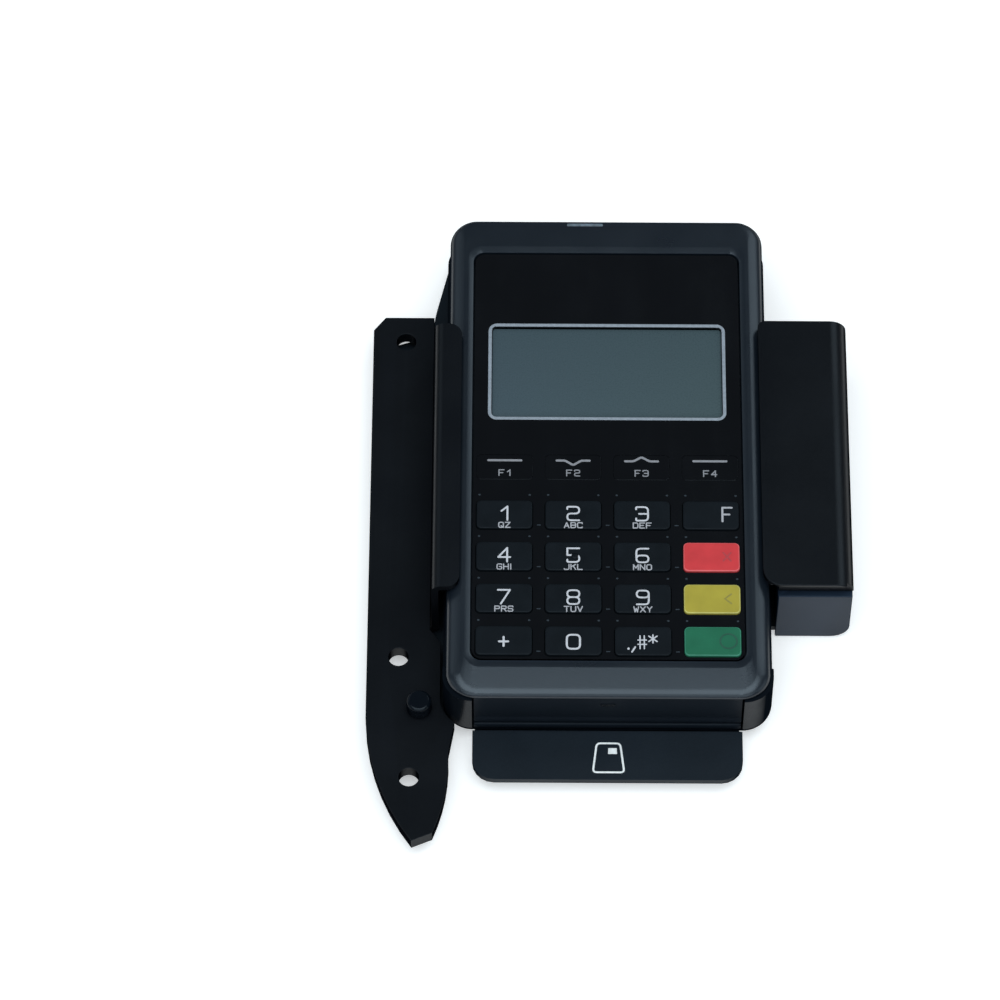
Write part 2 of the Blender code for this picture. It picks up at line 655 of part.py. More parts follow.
def build_mount_rail():
    """The flat arm at the left that is fastened behind a monitor."""
    corner_x, corner_y = -27.5 * MM, -51.6 * MM
    right_side = [(RAIL_INNER, RAIL_TOP), (RAIL_INNER, -35.5 * MM), (-34.3 * MM, -38.5 * MM)]
    right_side += arc((corner_x, corner_y), 6.8 * MM, 180, 236, 6)
    right_side += arc_through(
        (-32.5 * MM, -64.2 * MM), (-32.9 * MM, -73.0 * MM), (-35.6 * MM, -82.8 * MM), 6,
    )
    left_side = arc_through(
        (-39.8 * MM, -84.6 * MM), (-47.2 * MM, -70 * MM), (RAIL_OUTER, -52 * MM), 8,
    )
    outline = right_side + left_side + [(RAIL_OUTER, 38 * MM), (-47 * MM, RAIL_TOP)]
    rail = flat_outline("mount_rail", outline[::-1], RAIL_LOW, RAIL_Z, "powder_coat", CRADLE)
    for i, spot in enumerate(BACK_SCREWS):
        cut(rail, rod(f"rail_bore_{i}", spot, SHANK_RADIUS + GAP, 0, RAIL_Z - 0.6 * MM))
    for i, spot in enumerate(MONITOR_HOLES):
        cut(rail, rod(f"monitor_hole_{i}", spot, MONITOR_HOLE_RADIUS, 0, 10 * MM, sides=24))
    x, y = RAIL_BOSS
    box(
        "rail_boss", (x - RAIL_BOSS_RADIUS, y - RAIL_BOSS_RADIUS, RAIL_Z + GAP),
        (x + RAIL_BOSS_RADIUS, y + RAIL_BOSS_RADIUS, RAIL_Z + 3.4 * MM), "gloss_black", CRADLE,
        (RAIL_BOSS_RADIUS - 0.05 * MM, RAIL_BOSS_RADIUS - 0.05 * MM), top=1.2 * MM, segments=6,
    )


def build_block_housing():
    """The clamp block's hollow lower part, which stands round the back sheet's right wing."""
    low = (BLOCK_SIDE, BLOCK_BOTTOM - GAP, 0)
    high = (BLOCK_OUTER - 0.2 * MM, BLOCK_TOP - 0.5 * MM, BLOCK_PARTING_Z - GAP)
    bm = cube_mesh(low, high)
    bevel_edges(bm, lambda e: all(v.co.x > 0 and v.co.z < 0 for v in e.verts), 4.0 * MM, 6)
    housing = finish_mesh("right_block_rear", bm, "cover_grey", centre_of(low, high), CRADLE, True)
    floor_z = SHEET + GAP + BLOCK_WALL
    inner_low = (low[0] + BLOCK_WALL, low[1] + BLOCK_WALL, floor_z)
    inner_high = (high[0] - BLOCK_WALL, high[1] - BLOCK_WALL, high[2] + MM)
    cut(housing, box("block_cavity", inner_low, inner_high, corners=(MM, MM), segments=2))
    cut(housing, box(
        "wing_recess", (low[0] - MM, -31.6 * MM, -MM), (WING_END + GAP, 30.4 * MM, SHEET + GAP),
    ))
    for i, spot in enumerate(BLOCK_SCREWS):
        join(housing, rod(f"block_boss_{i}", spot, 2.6 * MM, floor_z - MM, 9 * MM))
        cut(housing, rod(f"block_bore_{i}", spot, SHANK_RADIUS + GAP, 0, 8.4 * MM))
    inlet_low = (39 * MM, high[1] - 4.5 * MM, 9.2 * MM)
    inlet_high = (46 * MM, high[1] - 0.1 * MM, 12.2 * MM)
    cut(housing, box(
        "inlet_hole", (inlet_low[0] - GAP, inner_high[1] - MM, inlet_low[2] - GAP),
        (inlet_high[0] + GAP, high[1] + MM, inlet_high[2] + GAP),
    ))
    build_power_inlet(inlet_low, inlet_high)
    box(
        "dock_board", (inner_low[0] + GAP, -20.5 * MM, 11 * MM), (inner_high[0] - GAP, 20.5 * MM, 12.2 * MM),
        "board_green", CRADLE,
    )


def build_power_inlet(low, high):
    lip = 0.6 * MM
    inlet = box("power_inlet", low, high, "steel", CRADLE)
    cut(inlet, box(
        "inlet_mouth", (low[0] + lip, high[1] - 3 * MM, low[2] + lip),
        (high[0] - lip, high[1] + MM, high[2] - lip),
    ))


def build_block_cover():
    low = (BLOCK_INNER, BLOCK_BOTTOM, BLOCK_PARTING_Z)
    high = (BLOCK_OUTER, BLOCK_TOP, FRONT_Z)
    bm = cube_mesh(low, high)
    bevel_edges(bm, lambda e: all(v.co.x > 0 and v.co.z > 0 for v in e.verts), BLOCK_ROUNDING, 6)
    bevel_edges(bm, lambda e: upright(e) and e.verts[0].co.x < 0 and e.verts[0].co.y < 0, 4 * MM, 6)
    bevel_edges(bm, lambda e: upright(e) and e.verts[0].co.x < 0 and e.verts[0].co.y > 0, 1.5 * MM, 4)
    cover = finish_mesh("right_block_front", bm, "powder_coat", centre_of(low, high), CRADLE, True)
    cut(cover, box(
        "bezel_relief", (BLOCK_INNER - MM, BLOCK_BOTTOM - MM, 10 * MM), (BLOCK_SIDE, BLOCK_TOP + MM, LIP_Z),
    ))


def build_cradle_screws():
    for i, spot in enumerate(BACK_SCREWS):
        screw(
            f"rail_screw_{i + 1}", spot, 0.1 * MM, HEAD_RADIUS, SHANK_RADIUS, 5.6 * MM, "steel", CRADLE,
        )
    for i, spot in enumerate(BLOCK_SCREWS):
        screw(
            f"block_screw_{i + 1}", spot, 0.1 * MM, HEAD_RADIUS, SHANK_RADIUS, 7.6 * MM, "steel", CRADLE,
        )


def main():
    build_front_bezel()
    build_rear_shell()
    build_terminal_screws()
    build_front_panel()
    build_display()
    build_keys()
    build_inner_pieces()
    build_card_reader()
    build_battery_door()
    build_cradle_back()
    build_left_jaw()
    build_mount_rail()
    build_block_housing()
    build_block_cover()
    build_cradle_screws()


main()
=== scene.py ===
"""The looks of a pocket card payment terminal in its sheet-metal cradle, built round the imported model.

Metres, +Z up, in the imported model's own frame: the face looks up, the keypad is towards -Y.
"""

import math

import bmesh
import bpy
from mathutils import Matrix, Vector


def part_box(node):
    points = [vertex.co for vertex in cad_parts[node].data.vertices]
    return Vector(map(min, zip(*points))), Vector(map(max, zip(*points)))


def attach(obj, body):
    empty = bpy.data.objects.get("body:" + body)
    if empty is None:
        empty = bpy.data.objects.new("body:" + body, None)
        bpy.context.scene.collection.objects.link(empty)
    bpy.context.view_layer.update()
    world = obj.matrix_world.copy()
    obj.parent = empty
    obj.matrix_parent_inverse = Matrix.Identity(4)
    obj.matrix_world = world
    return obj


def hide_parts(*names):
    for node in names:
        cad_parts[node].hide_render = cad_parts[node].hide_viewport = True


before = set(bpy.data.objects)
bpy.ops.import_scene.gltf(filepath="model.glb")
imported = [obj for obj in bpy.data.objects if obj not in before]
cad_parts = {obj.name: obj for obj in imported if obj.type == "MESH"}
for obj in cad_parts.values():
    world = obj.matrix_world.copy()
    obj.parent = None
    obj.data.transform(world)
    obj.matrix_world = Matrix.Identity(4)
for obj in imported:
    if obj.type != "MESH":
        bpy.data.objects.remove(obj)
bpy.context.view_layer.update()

MM = 0.001
WHOLE_TURN = math.tau

# The camera and the studio
AIM = (-22.27 * MM, -11.4 * MM, 18.8 * MM)
CAMERA_AZIMUTH = 0.35
CAMERA_ELEVATION = 59.0
CAMERA_DISTANCE = 1.118
CAMERA_LENS = 194.4
SENSOR_WIDTH = 36.0
FLOOR_Z = -0.3 * MM
WORLD_COLOUR = (0.70, 0.85, 1.0)
WORLD_STRENGTH = 0.14
COOL_WHITE = (0.68, 0.86, 1.0)
SOFTBOXES = (  # name, azimuth and elevation in degrees, distance and size in metres, radiance
    ("front_box", 0, 38, 1.7, (2.2, 1.1), 1.6),
    ("top_box", 0, 80, 1.6, (1.6, 1.05), 3.7),
    ("right_box", 138, 44, 1.5, (0.8, 0.7), 2.0),
    ("left_box", -130, 40, 1.5, (0.9, 0.7), 0.7),
    ("left_fill", -70, 25, 1.6, (1.0, 0.8), 0.7),
    ("right_fill", 70, 25, 1.6, (1.0, 0.8), 0.9),
)

# Edge finishing
FINE_EDGE = 0.12 * MM
SHARP_ANGLE = math.radians(32)
FLAT_ANGLE = math.radians(0.6)

# The terminal's front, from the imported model
BEZEL_LOW, BEZEL_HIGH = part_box("front_bezel")
PANEL_LOW, PANEL_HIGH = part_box("front_panel")
SHELL_LOW, SHELL_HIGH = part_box("rear_shell")
TRIM_LOW, TRIM_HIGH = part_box("display_trim")
LENS_LOW, LENS_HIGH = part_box("display_lens")
LIGHT_LOW, LIGHT_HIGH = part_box("status_light")
SURROUND_LOW, SURROUND_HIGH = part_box("slot_surround")
DOOR_LOW, DOOR_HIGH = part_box("battery_door")

CLEARANCE = 0.3 * MM
WALL = 1.6 * MM
LOWER_CORNER = 6.0 * MM
UPPER_CORNER = 5.0 * MM
LEDGE_Z = 16.7 * MM
CEILING_Z = 15.5 * MM
PARTING_Z = BEZEL_LOW.z
POCKET_CORNER = 2.3 * MM
MOUTH_HALF = 27.7 * MM
MOUTH_DEPTH = 7.9 * MM
SCREEN_CORNER = 1.9 * MM
TONGUE_Z = 5.3 * MM
JAW_WALL = -36.3 * MM
FOOT_LOW, FOOT_HIGH = -27.0 * MM, 30.0 * MM

KEY_FLANGE = 0.3 * MM
KEY_FLANGE_HEIGHT = 1.3 * MM
KEY_CORNER = 1.0 * MM
INK_HEIGHT = 0.03 * MM
LEGENDS = {
    "key_1": ("1", "QZ"), "key_2": ("2", "ABC"), "key_3": ("3", "DEF"),
    "key_4": ("4", "GHI"), "key_5": ("5", "JKL"), "key_6": ("6", "MNO"),
    "key_7": ("7", "PRS"), "key_8": ("8", "TUV"), "key_9": ("9", "WXY"),
}
SIGNS = {  # character, place on the cap, size and stroke in mm
    "key_plus": (("+", 0, -0.33, 2.3, 3.6, 0.44),),
    "key_0": (("0", 0, -0.33, 3.1, 3.7, 0.42),),
    "key_function": (("F", 3.35, 0.15, 2.35, 3.7, 0.42),),
    "key_symbols": (
        (".", -3.0, -1.85, 0.55, 0.7, 0.5), (",", -1.95, -2.05, 1.0, 1.5, 0.34),
        ("#", -0.2, -0.35, 2.0, 3.3, 0.27), ("*", 2.0, 0.45, 1.95, 2.15, 0.29),
    ),
}
SOFT_KEYS = {"key_f1": 0, "key_f2": -1.1, "key_f3": 1.0, "key_f4": 0}  # with the rise of each line icon
KEY_SLOTS = {"key_cancel": "key_red", "key_clear": "key_yellow", "key_enter": "key_green"}

# Squarish stroke lettering on a grid 4 wide and 6 high: a stroke is a run of xy pairs, and one that
# ends with o is closed
STROKES = {
    "0": "00404606o", "1": "1436 3630", "2": "05064643030040", "3": "050646400001 1343",
    "4": "3036 3602 0242", "5": "4606 0603 0343400001", "6": "00404303o 020646", "7": "0646 4610",
    "8": "00404303o 03434606o", "9": "03434606o 444000", "+": "0343 2125",
    "A": "0026 2640 1232", "B": "0006 06464000 0343",
    "C": "454606004041", "D": "0006 06464000", "E": "0006 0646 0040 0333", "F": "0006 0646 0333",
    "G": "45460600404323", "H": "0006 4046 0343", "I": "2026", "J": "46400001", "K": "0006 0346 2440",
    "L": "0600 0040", "M": "0006 0622 2246 4640", "N": "0006 0640 4046", "O": "00404606o",
    "P": "0006 06464303", "Q": "00404606o 2240", "R": "0006 06464303 2340", "S": "4546060343400001",
    "T": "0646 2026", "U": "06004046", "V": "0620 2046", "W": "0610 1024 2430 3046", "X": "0046 0640",
    "Y": "0623 4623 2320", "Z": "0646 4600 0040", "#": "1016 3036 0242 0444", "*": "2026 0145 0541",
    ".": "2223", ",": "0046",
}


# ---------------------------------------------------------------- materials

SMUDGE = 0.15  # how much fingerprints change the roughness of plastic, either way


def linear(hex_colour, gain=1.0):
    """Linear RGBA of an sRGB hex colour."""
    values = [int(hex_colour[i : i + 2], 16) / 255 for i in (0, 2, 4)]
    return [gain * (v / 12.92 if v <= 0.04045 else ((v + 0.055) / 1.055) ** 2.4) for v in values] + [1.0]


class Nodes:
    """A short way to make and link the nodes of one material."""

    def __init__(self, name):
        self.material = bpy.data.materials.new(name)
        self.material.use_nodes = True
        self.tree = self.material.node_tree
        self.shader = self.tree.nodes["Principled BSDF"]
        self.place = self.make("ShaderNodeTexCoord").outputs["Object"]

    def make(self, kind, inputs=(), **settings):
        node = self.tree.nodes.new(kind)
        for key, value in settings.items():
            setattr(node, key, value)
        for key, value in dict(inputs).items():
            if isinstance(value, bpy.types.NodeSocket):
                self.tree.links.new(value, node.inputs[key])
            else:
                node.inputs[key].default_value = value
        return node

    def noise(self, scale, detail=2.0, stretch=(1, 1, 1), roughness=0.5):
        place = self.make("ShaderNodeMapping", {"Vector": self.place, "Scale": stretch}).outputs[0]
        made = self.make("ShaderNodeTexNoise", {
            "Vector": place, "Scale": scale, "Detail": detail, "Roughness": roughness,
        })
        return made.outputs["Fac"]

    def spread(self, value, low, high, from_low=0.3, from_high=0.7):
        """Maps the middle of a noise to a range."""
        return self.make("ShaderNodeMapRange", {
            "Value": value, "From Min": from_low, "From Max": from_high, "To Min": low, "To Max": high,
        }).outputs[0]

    def blend(self, share, first, second):
        made = self.make("ShaderNodeMix", data_type="RGBA")
        for index, value in ((0, share), (6, first), (7, second)):
            if isinstance(value, bpy.types.NodeSocket):
                self.tree.links.new(value, made.inputs[index])
            else:
                made.inputs[index].default_value = value
        return made.outputs[2]

    def bump(self, height, strength, distance, after=None):
        made = self.make("ShaderNodeBump", {"Height": height, "Strength": strength, "Distance": distance})
        if after:
            self.tree.links.new(after, made.inputs["Normal"])
        return made.outputs[0]

    def dull_edge(self, roughness, specular):
        """Roughness and specular level for a surface that dulls where it is seen nearly edge-on."""
        facing = self.make("ShaderNodeLayerWeight", {"Blend": 0.5}).outputs["Facing"]
        extra = self.spread(facing, 0, 0.5, 0.5, 0.7)
        rough = self.make("ShaderNodeMath", {0: roughness, 1: extra}, operation="ADD").outputs[0]
        return {"Roughness": rough, "Specular_IOR_Level": self.spread(facing, specular, 0, 0.5, 0.7)}

    def feed(self, **sockets):
        """Sets or links the shader's own sockets. Names use _ for a space."""
        for key, value in sockets.items():
            socket = self.shader.inputs[key.replace("_", " ")]
            if isinstance(value, bpy.types.NodeSocket):
                self.tree.links.new(value, socket)
            else:
                socket.default_value = value


def plastic(name, colour, roughness, grain=0.0, grain_size=0.25 * MM, mottle=0.12, edge_wear_and_highlight=0.0, specular=0.5):
    """Moulded plastic or paint: slow mottling, fingerprint-scale gloss changes, fine grain, and sharp edges
    lightened as partly worn edges and partly a painted edge highlight.
    """
    n = Nodes(name)
    base, dark, light = linear(colour), linear(colour, 1 - mottle), linear(colour, 1 + mottle)
    tone = n.blend(n.spread(n.noise(90, 3), 0, 1), dark, light)
    speck = n.spread(n.noise(0.35 / grain_size, 1), 0, 1, 0.35, 0.65)
    tone = n.blend(speck, tone, base)
    if edge_wear_and_highlight:
        # Lighter on sharp convex edges: partly real edge wear, partly a painted highlight where light catches
        # the edge.
        edge = n.make("ShaderNodeNewGeometry").outputs["Pointiness"]
        edge = n.spread(edge, 0, edge_wear_and_highlight, 0.51, 0.58)
        tone = n.blend(edge, tone, linear(colour, 2.6))
    gloss = n.spread(n.noise(55, 4, roughness=0.6), roughness * (1 - SMUDGE), roughness * (1 + SMUDGE))
    n.feed(Base_Color=tone, **n.dull_edge(gloss, specular))
    if grain:
        fine = n.noise(1 / grain_size, 2)
        n.feed(Normal=n.bump(fine, grain, 0.04 * MM))
    return n.material


def gloss_black(name, colour, roughness, specular=0.5):
    """Polished plastic with faint wiping marks and dust."""
    n = Nodes(name)
    haze = n.noise(38, 5, roughness=0.65)
    wipe = n.noise(160, 2, stretch=(1, 0.12, 1))
    mixed = n.make("ShaderNodeMath", {0: haze, 1: wipe}, operation="MULTIPLY").outputs[0]
    n.feed(
        Base_Color=n.blend(n.spread(haze, 0, 1), linear(colour, 0.85), linear(colour, 1.15)),
        **n.dull_edge(n.spread(mixed, roughness * 0.7, roughness * 1.6, 0.15, 0.4), specular),
    )
    n.feed(Normal=n.bump(n.noise(25, 1), 0.05, 0.02 * MM))
    return n.material


def powder_coat(name, colour, roughness, specular=0.5):
    """Baked powder on sheet metal: orange peel and fine grains, with lighter specks painted on the grains as
    sparkle glints, and sharp edges lightened as partly worn edges and partly a painted edge highlight.
    """
    n = Nodes(name)
    peel = n.noise(1400, 2)
    grains_and_glints = n.make("ShaderNodeTexVoronoi", {"Vector": n.place, "Scale": 3600}).outputs["Distance"]
    tone = n.blend(n.spread(n.noise(60, 3), 0, 1), linear(colour, 0.85), linear(colour, 1.15))
    # Lighter specks near the middle of each grain: painted glints that stand in for the sparkle of the coat.
    tone = n.blend(n.spread(grains_and_glints, 0.35, 0, 0.0, 0.5), tone, linear(colour, 1.9))
    # Lighter on sharp convex edges: partly real edge wear, partly a painted edge highlight.
    edge = n.spread(n.make("ShaderNodeNewGeometry").outputs["Pointiness"], 0, 0.15, 0.53, 0.6)
    n.feed(
        Base_Color=n.blend(edge, tone, linear(colour, 2.4)),
        **n.dull_edge(n.spread(n.noise(45, 3), roughness * 0.85, roughness * 1.15), specular),
        Normal=n.bump(grains_and_glints, 0.25, 0.02 * MM, n.bump(peel, 0.35, 0.05 * MM)),
    )
    return n.material


def silicone(name, colour, roughness, lift=1.25, specular=0.4):
    """Key rubber: velvety, with a slow random change of tone that is lighter in places."""
    n = Nodes(name)
    tone = n.blend(n.spread(n.noise(220, 3), 0, 1), linear(colour, 0.92), linear(colour, lift))
    n.feed(
        Base_Color=tone,
        Roughness=n.spread(n.noise(300, 3), roughness * 0.85, roughness * 1.15),
        Specular_IOR_Level=specular,
        Normal=n.bump(n.noise(5200, 2), 0.25, 0.02 * MM),
    )
    return n.material


def ink(name, colour, roughness):
    """Screen-printed or laser-etched marking with a slightly uneven film."""
    n = Nodes(name)
    n.feed(
        Base_Color=n.blend(n.spread(n.noise(1600, 2), 0, 1), linear(colour, 0.86), linear(colour, 1.06)),
        Roughness=n.spread(n.noise(700, 2), roughness * 0.8, roughness * 1.2),
        Normal=n.bump(n.noise(4000, 2), 0.15, 0.01 * MM),
    )
    return n.material


def metal(name, colour, roughness, stretch=(1, 1, 1)):
    """Plated or brushed metal."""
    n = Nodes(name)
    lines = n.noise(900, 3, stretch=stretch)
    n.feed(
        Base_Color=n.blend(n.spread(n.noise(200, 3), 0, 1), linear(colour, 0.8), linear(colour, 1.1)),
        Metallic=1.0,
        Roughness=n.spread(lines, roughness * 0.7, roughness * 1.5),
        Normal=n.bump(lines, 0.2, 0.02 * MM),
    )
    return n.material


def display_window(name):
    """An unlit liquid-crystal display: a green-grey polariser, darker towards its upper end as painted shade,
    with a fine cell grid under gloss.
    """
    n = Nodes(name)
    split = n.make("ShaderNodeSeparateXYZ", {"Vector": n.place})
    low, high = LENS_LOW, LENS_HIGH
    across = n.spread(split.outputs["X"], 0, 1, low.x, high.x)
    tone = n.blend(across, linear("4a5457"), linear("4a5554"))
    # Painted shade: the colour darkens towards the display's upper end.
    along = n.spread(split.outputs["Y"], 0, 0.5, low.y, high.y)
    tone = n.blend(along, tone, linear("3e494b"))
    cells = n.make("ShaderNodeTexBrick", {
        "Vector": n.place, "Scale": 1.0, "Color1": (1, 1, 1, 1), "Color2": (1, 1, 1, 1),
        "Mortar": (0, 0, 0, 1), "Mortar Size": 0.03 * MM, "Mortar Smooth": 0.4,
        "Brick Width": 0.36 * MM, "Row Height": 0.36 * MM,
    }, offset=0.0)
    grid = n.spread(cells.outputs["Fac"], 0.0, 0.22, 0, 1)
    tone = n.blend(grid, tone, linear("323b3e"))
    n.feed(
        Base_Color=tone,
        Roughness=n.spread(n.noise(2600, 2), 0.26, 0.3),
        Specular_IOR_Level=0.35,
    )
    return n.material


def light_guide(name):
    """Frosted clear plastic over a lamp."""
    n = Nodes(name)
    n.feed(
        Base_Color=n.blend(n.spread(n.noise(900, 2), 0, 1), linear("5c6265"), linear("787f84")),
        Roughness=n.spread(n.noise(1500, 2), 0.25, 0.4),
        Subsurface_Weight=0.2, Subsurface_Scale=0.4 * MM,
        Normal=n.bump(n.noise(2500, 2), 0.2, 0.02 * MM),
    )
    return n.material


def circuit_board(name):
    """Solder mask with faint copper tracks below it."""
    n = Nodes(name)
    tracks = n.make("ShaderNodeTexBrick", {
        "Vector": n.place, "Scale": 1.0, "Mortar Size": 0.12 * MM, "Brick Width": 3.1 * MM,
        "Row Height": 1.3 * MM, "Color1": (0.2, 0.2, 0.2, 1), "Color2": (0.8, 0.8, 0.8, 1),
    })
    tone = n.blend(tracks.outputs["Fac"], linear("1f5a38"), linear("2f7a4c"))
    n.feed(
        Base_Color=n.blend(n.spread(n.noise(300, 2), 0, 0.4), tone, linear("174629")),
        Roughness=n.spread(n.noise(500, 2), 0.25, 0.4),
        Normal=n.bump(tracks.outputs["Fac"], 0.3, 0.03 * MM),
    )
    return n.material


MATERIALS = {
    "satin_plastic": plastic(
        "satin_plastic", "12171d", 0.30, grain=0.25, grain_size=0.3 * MM, edge_wear_and_highlight=0.35, specular=0.5,
    ),
    "gloss_shell": gloss_black("gloss_shell", "0a0e13", 0.16, specular=0.15),
    "gloss_panel": gloss_black("gloss_panel", "08080a", 0.12, specular=0.4),
    "silver_ink": ink("silver_ink", "9b9a9c", 0.4),
    "display_window": display_window("display_window"),
    "grey_plastic": plastic("grey_plastic", "4a4f53", 0.5, grain=0.3),
    "grey_rubber": silicone("grey_rubber", "3a3f43", 0.6),
    "circuit_board": circuit_board("circuit_board"),
    "battery_wrap": plastic("battery_wrap", "2f4f7a", 0.35, mottle=0.08),
    "slot_plastic": plastic("slot_plastic", "14181d", 0.38, grain=0.2, edge_wear_and_highlight=0.3, specular=0.1),
    "light_guide": light_guide("light_guide"),
    "black_plastic": plastic("black_plastic", "121417", 0.4, grain=0.3),
    "steel": metal("steel", "8d9297", 0.3, stretch=(1, 0.1, 1)),
    "powder_coat": powder_coat("powder_coat", "08090c", 0.33, specular=0.2),
    "pad_rubber": silicone("pad_rubber", "101214", 0.7),
    "block_plastic": plastic("block_plastic", "171f29", 0.36, grain=0.2, edge_wear_and_highlight=0.4, specular=0.15),
    "key_rubber": silicone("key_rubber", "0d1013", 0.5, specular=0.12),
    "key_red": silicone("key_red", "da3d3d", 0.5, lift=1.08, specular=0.2),
    "key_yellow": silicone("key_yellow", "b39b37", 0.5, lift=1.08, specular=0.2),
    "key_green": silicone("key_green", "236646", 0.5, lift=1.08, specular=0.2),
}
LEGEND_INK = ink("legend_ink", "d7cbc7", 0.45)
LETTER_INK = ink("letter_ink", "baafac", 0.45)
GREY_INK = ink("grey_ink", "968d8b", 0.5)
FAINT_INK = ink("faint_ink", "24292e", 0.5)
TONGUE_COAT = powder_coat("tongue_coat", "14191e", 0.42, specular=0.18)
# Darker tones of the key colours for the embossed marks on the coloured caps: painted shade that makes the
# marks show.
MARK_SHADE_INKS = {
    name: ink(name + "_mark", tone, 0.5)
    for name, tone in (("key_cancel", "c03a3b"), ("key_clear", "9a8638"), ("key_enter", "1b5038"))
}
# Lighter rubber for the rounded rims of the coloured caps: a painted highlight where light catches their
# shoulders.
RIM_HIGHLIGHTS = {
    name: silicone(name + "_rim", tone, 0.4)
    for name, tone in (("key_cancel", "e05a58"), ("key_clear", "c4b25a"), ("key_enter", "34785a"))
}
EDGE_BLACK = gloss_black("edge_black", "060709", 0.3)


# ---------------------------------------------------------------- mesh helpers

def plan(low, high, lower, upper, steps=12, inset=(0, 0, 0, 0), cuts=0):
    """A rounded rectangle between two corners, anticlockwise. inset is for the left, right, lower
    and upper side; cuts divides each of the two upright sides."""
    x0, x1, y0, y1 = low[0] + inset[0], high[0] - inset[1], low[1] + inset[2], high[1] - inset[3]
    corners = (
        (x0 + lower, y0 + lower, lower, 180), (x1 - lower, y0 + lower, lower, 270),
        (x1 - upper, y1 - upper, upper, 0), (x0 + upper, y1 - upper, upper, 90),
    )
    points = []
    for index, (x, y, radius, start) in enumerate(corners):
        for i in range(steps + 1):
            a = math.radians(start + 90 * i / steps)
            points.append((x + radius * math.cos(a), y + radius * math.sin(a)))
        if index % 2:
            a, b = (points[-1][1], y1 - upper) if index == 1 else (points[-1][1], y0 + lower)
            edge_x = x1 if index == 1 else x0
            points += [(edge_x, a + (b - a) * k / cuts) for k in range(1, cuts)]
    return points


def at(points, z):
    return [(x, y, z) for x, y in points]


def circle(x, y, radius, count):
    """Points round a centre, anticlockwise."""
    angles = [WHOLE_TURN * i / count for i in range(count)]
    return [(x + radius * math.cos(a), y + radius * math.sin(a)) for a in angles]


def loft(rings, closed=False):
    """A bmesh skin over rings of equally many points, capped at both ends unless it closes on itself."""
    bm = bmesh.new()
    loops = [[bm.verts.new(p) for p in ring] for ring in rings]
    pairs = list(zip(loops, loops[1:]))
    if closed:
        pairs.append((loops[-1], loops[0]))
    count = len(loops[0])
    for a, b in pairs:
        for i in range(count):
            j = (i + 1) % count
            bm.faces.new((a[i], a[j], b[j], b[i]))
    if not closed:
        bm.faces.new(loops[0][::-1])
        bm.faces.new(loops[-1])
    bmesh.ops.recalc_face_normals(bm, faces=bm.faces)
    return bm


def make(name, bm):
    """An object of this bmesh, which gets its material later or is a cutter."""
    mesh = bpy.data.meshes.new(name)
    bm.to_mesh(mesh)
    bm.free()
    made = bpy.data.objects.new(name, mesh)
    bpy.context.scene.collection.objects.link(made)
    return made


def settle(obj):
    """Puts the result of an object's modifiers in its mesh."""
    bpy.context.view_layer.update()
    graph = bpy.context.evaluated_depsgraph_get()
    mesh = bpy.data.meshes.new_from_object(obj.evaluated_get(graph))
    obj.modifiers.clear()
    obj.data = mesh


def combine(obj, tools, operation):
    """A Boolean of an object with each tool, which is used up."""
    for tool in tools:
        step = obj.modifiers.new(tool.name, "BOOLEAN")
        step.operation, step.object, step.solver = operation, tool, "EXACT"
    settle(obj)
    for tool in tools:
        bpy.data.objects.remove(tool, do_unlink=True)
    return obj


def block(low, high, lower=0.02 * MM, upper=0.02 * MM, steps=6, name="tool"):
    """A plain upright cutter or joining body."""
    points = plan(low, high, lower, upper, steps)
    return make(name, loft([at(points, low[2]), at(points, high[2])]))


def tidy(bm):
    """Merges flat faces and loose doubles that a Boolean or a triangulation left."""
    bmesh.ops.remove_doubles(bm, verts=bm.verts, dist=0.002 * MM)
    bmesh.ops.dissolve_limit(bm, angle_limit=FLAT_ANGLE, verts=bm.verts, edges=bm.edges)


def soften(obj, width=FINE_EDGE, segments=2, clean=True):
    """Breaks every sharp edge with a small radius, and shades the surface smoothly between flats."""
    bm = bmesh.new()
    bm.from_mesh(obj.data)
    if clean:
        tidy(bm)
    for face in bm.faces:
        face.smooth = True
    bm.to_mesh(obj.data)
    bm.free()
    if width:
        edge = obj.modifiers.new("edge", "BEVEL")
        edge.width, edge.segments = width, segments
        edge.limit_method, edge.angle_limit = "ANGLE", SHARP_ANGLE
        edge.use_clamp_overlap = True
        edge.miter_outer = "MITER_ARC"
    even = obj.modifiers.new("even", "WEIGHTED_NORMAL")
    even.keep_sharp, even.weight = False, 60
    return obj


def from_cad(node, name=None):
    """A new object with the shape of a CAD node, its triangles merged back into faces."""
    bm = bmesh.new()
    bm.from_mesh(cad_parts[node].data)
    for layer in list(bm.loops.layers.uv):
        bm.loops.layers.uv.remove(layer)
    tidy(bm)
    return make(name or node + "_skin", bm)


def place(obj, body, slot=None, nodes=(), look=None):
    """Rides a finished piece on its body, gives it the material of its slot, and hides the CAD nodes it
    stands for.
    """
    look = look or MATERIALS.get(slot)
    if look:
        obj.data.materials.clear()
        obj.data.materials.append(look)
    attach(obj, body)
    if nodes:
        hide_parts(*nodes)
    return obj


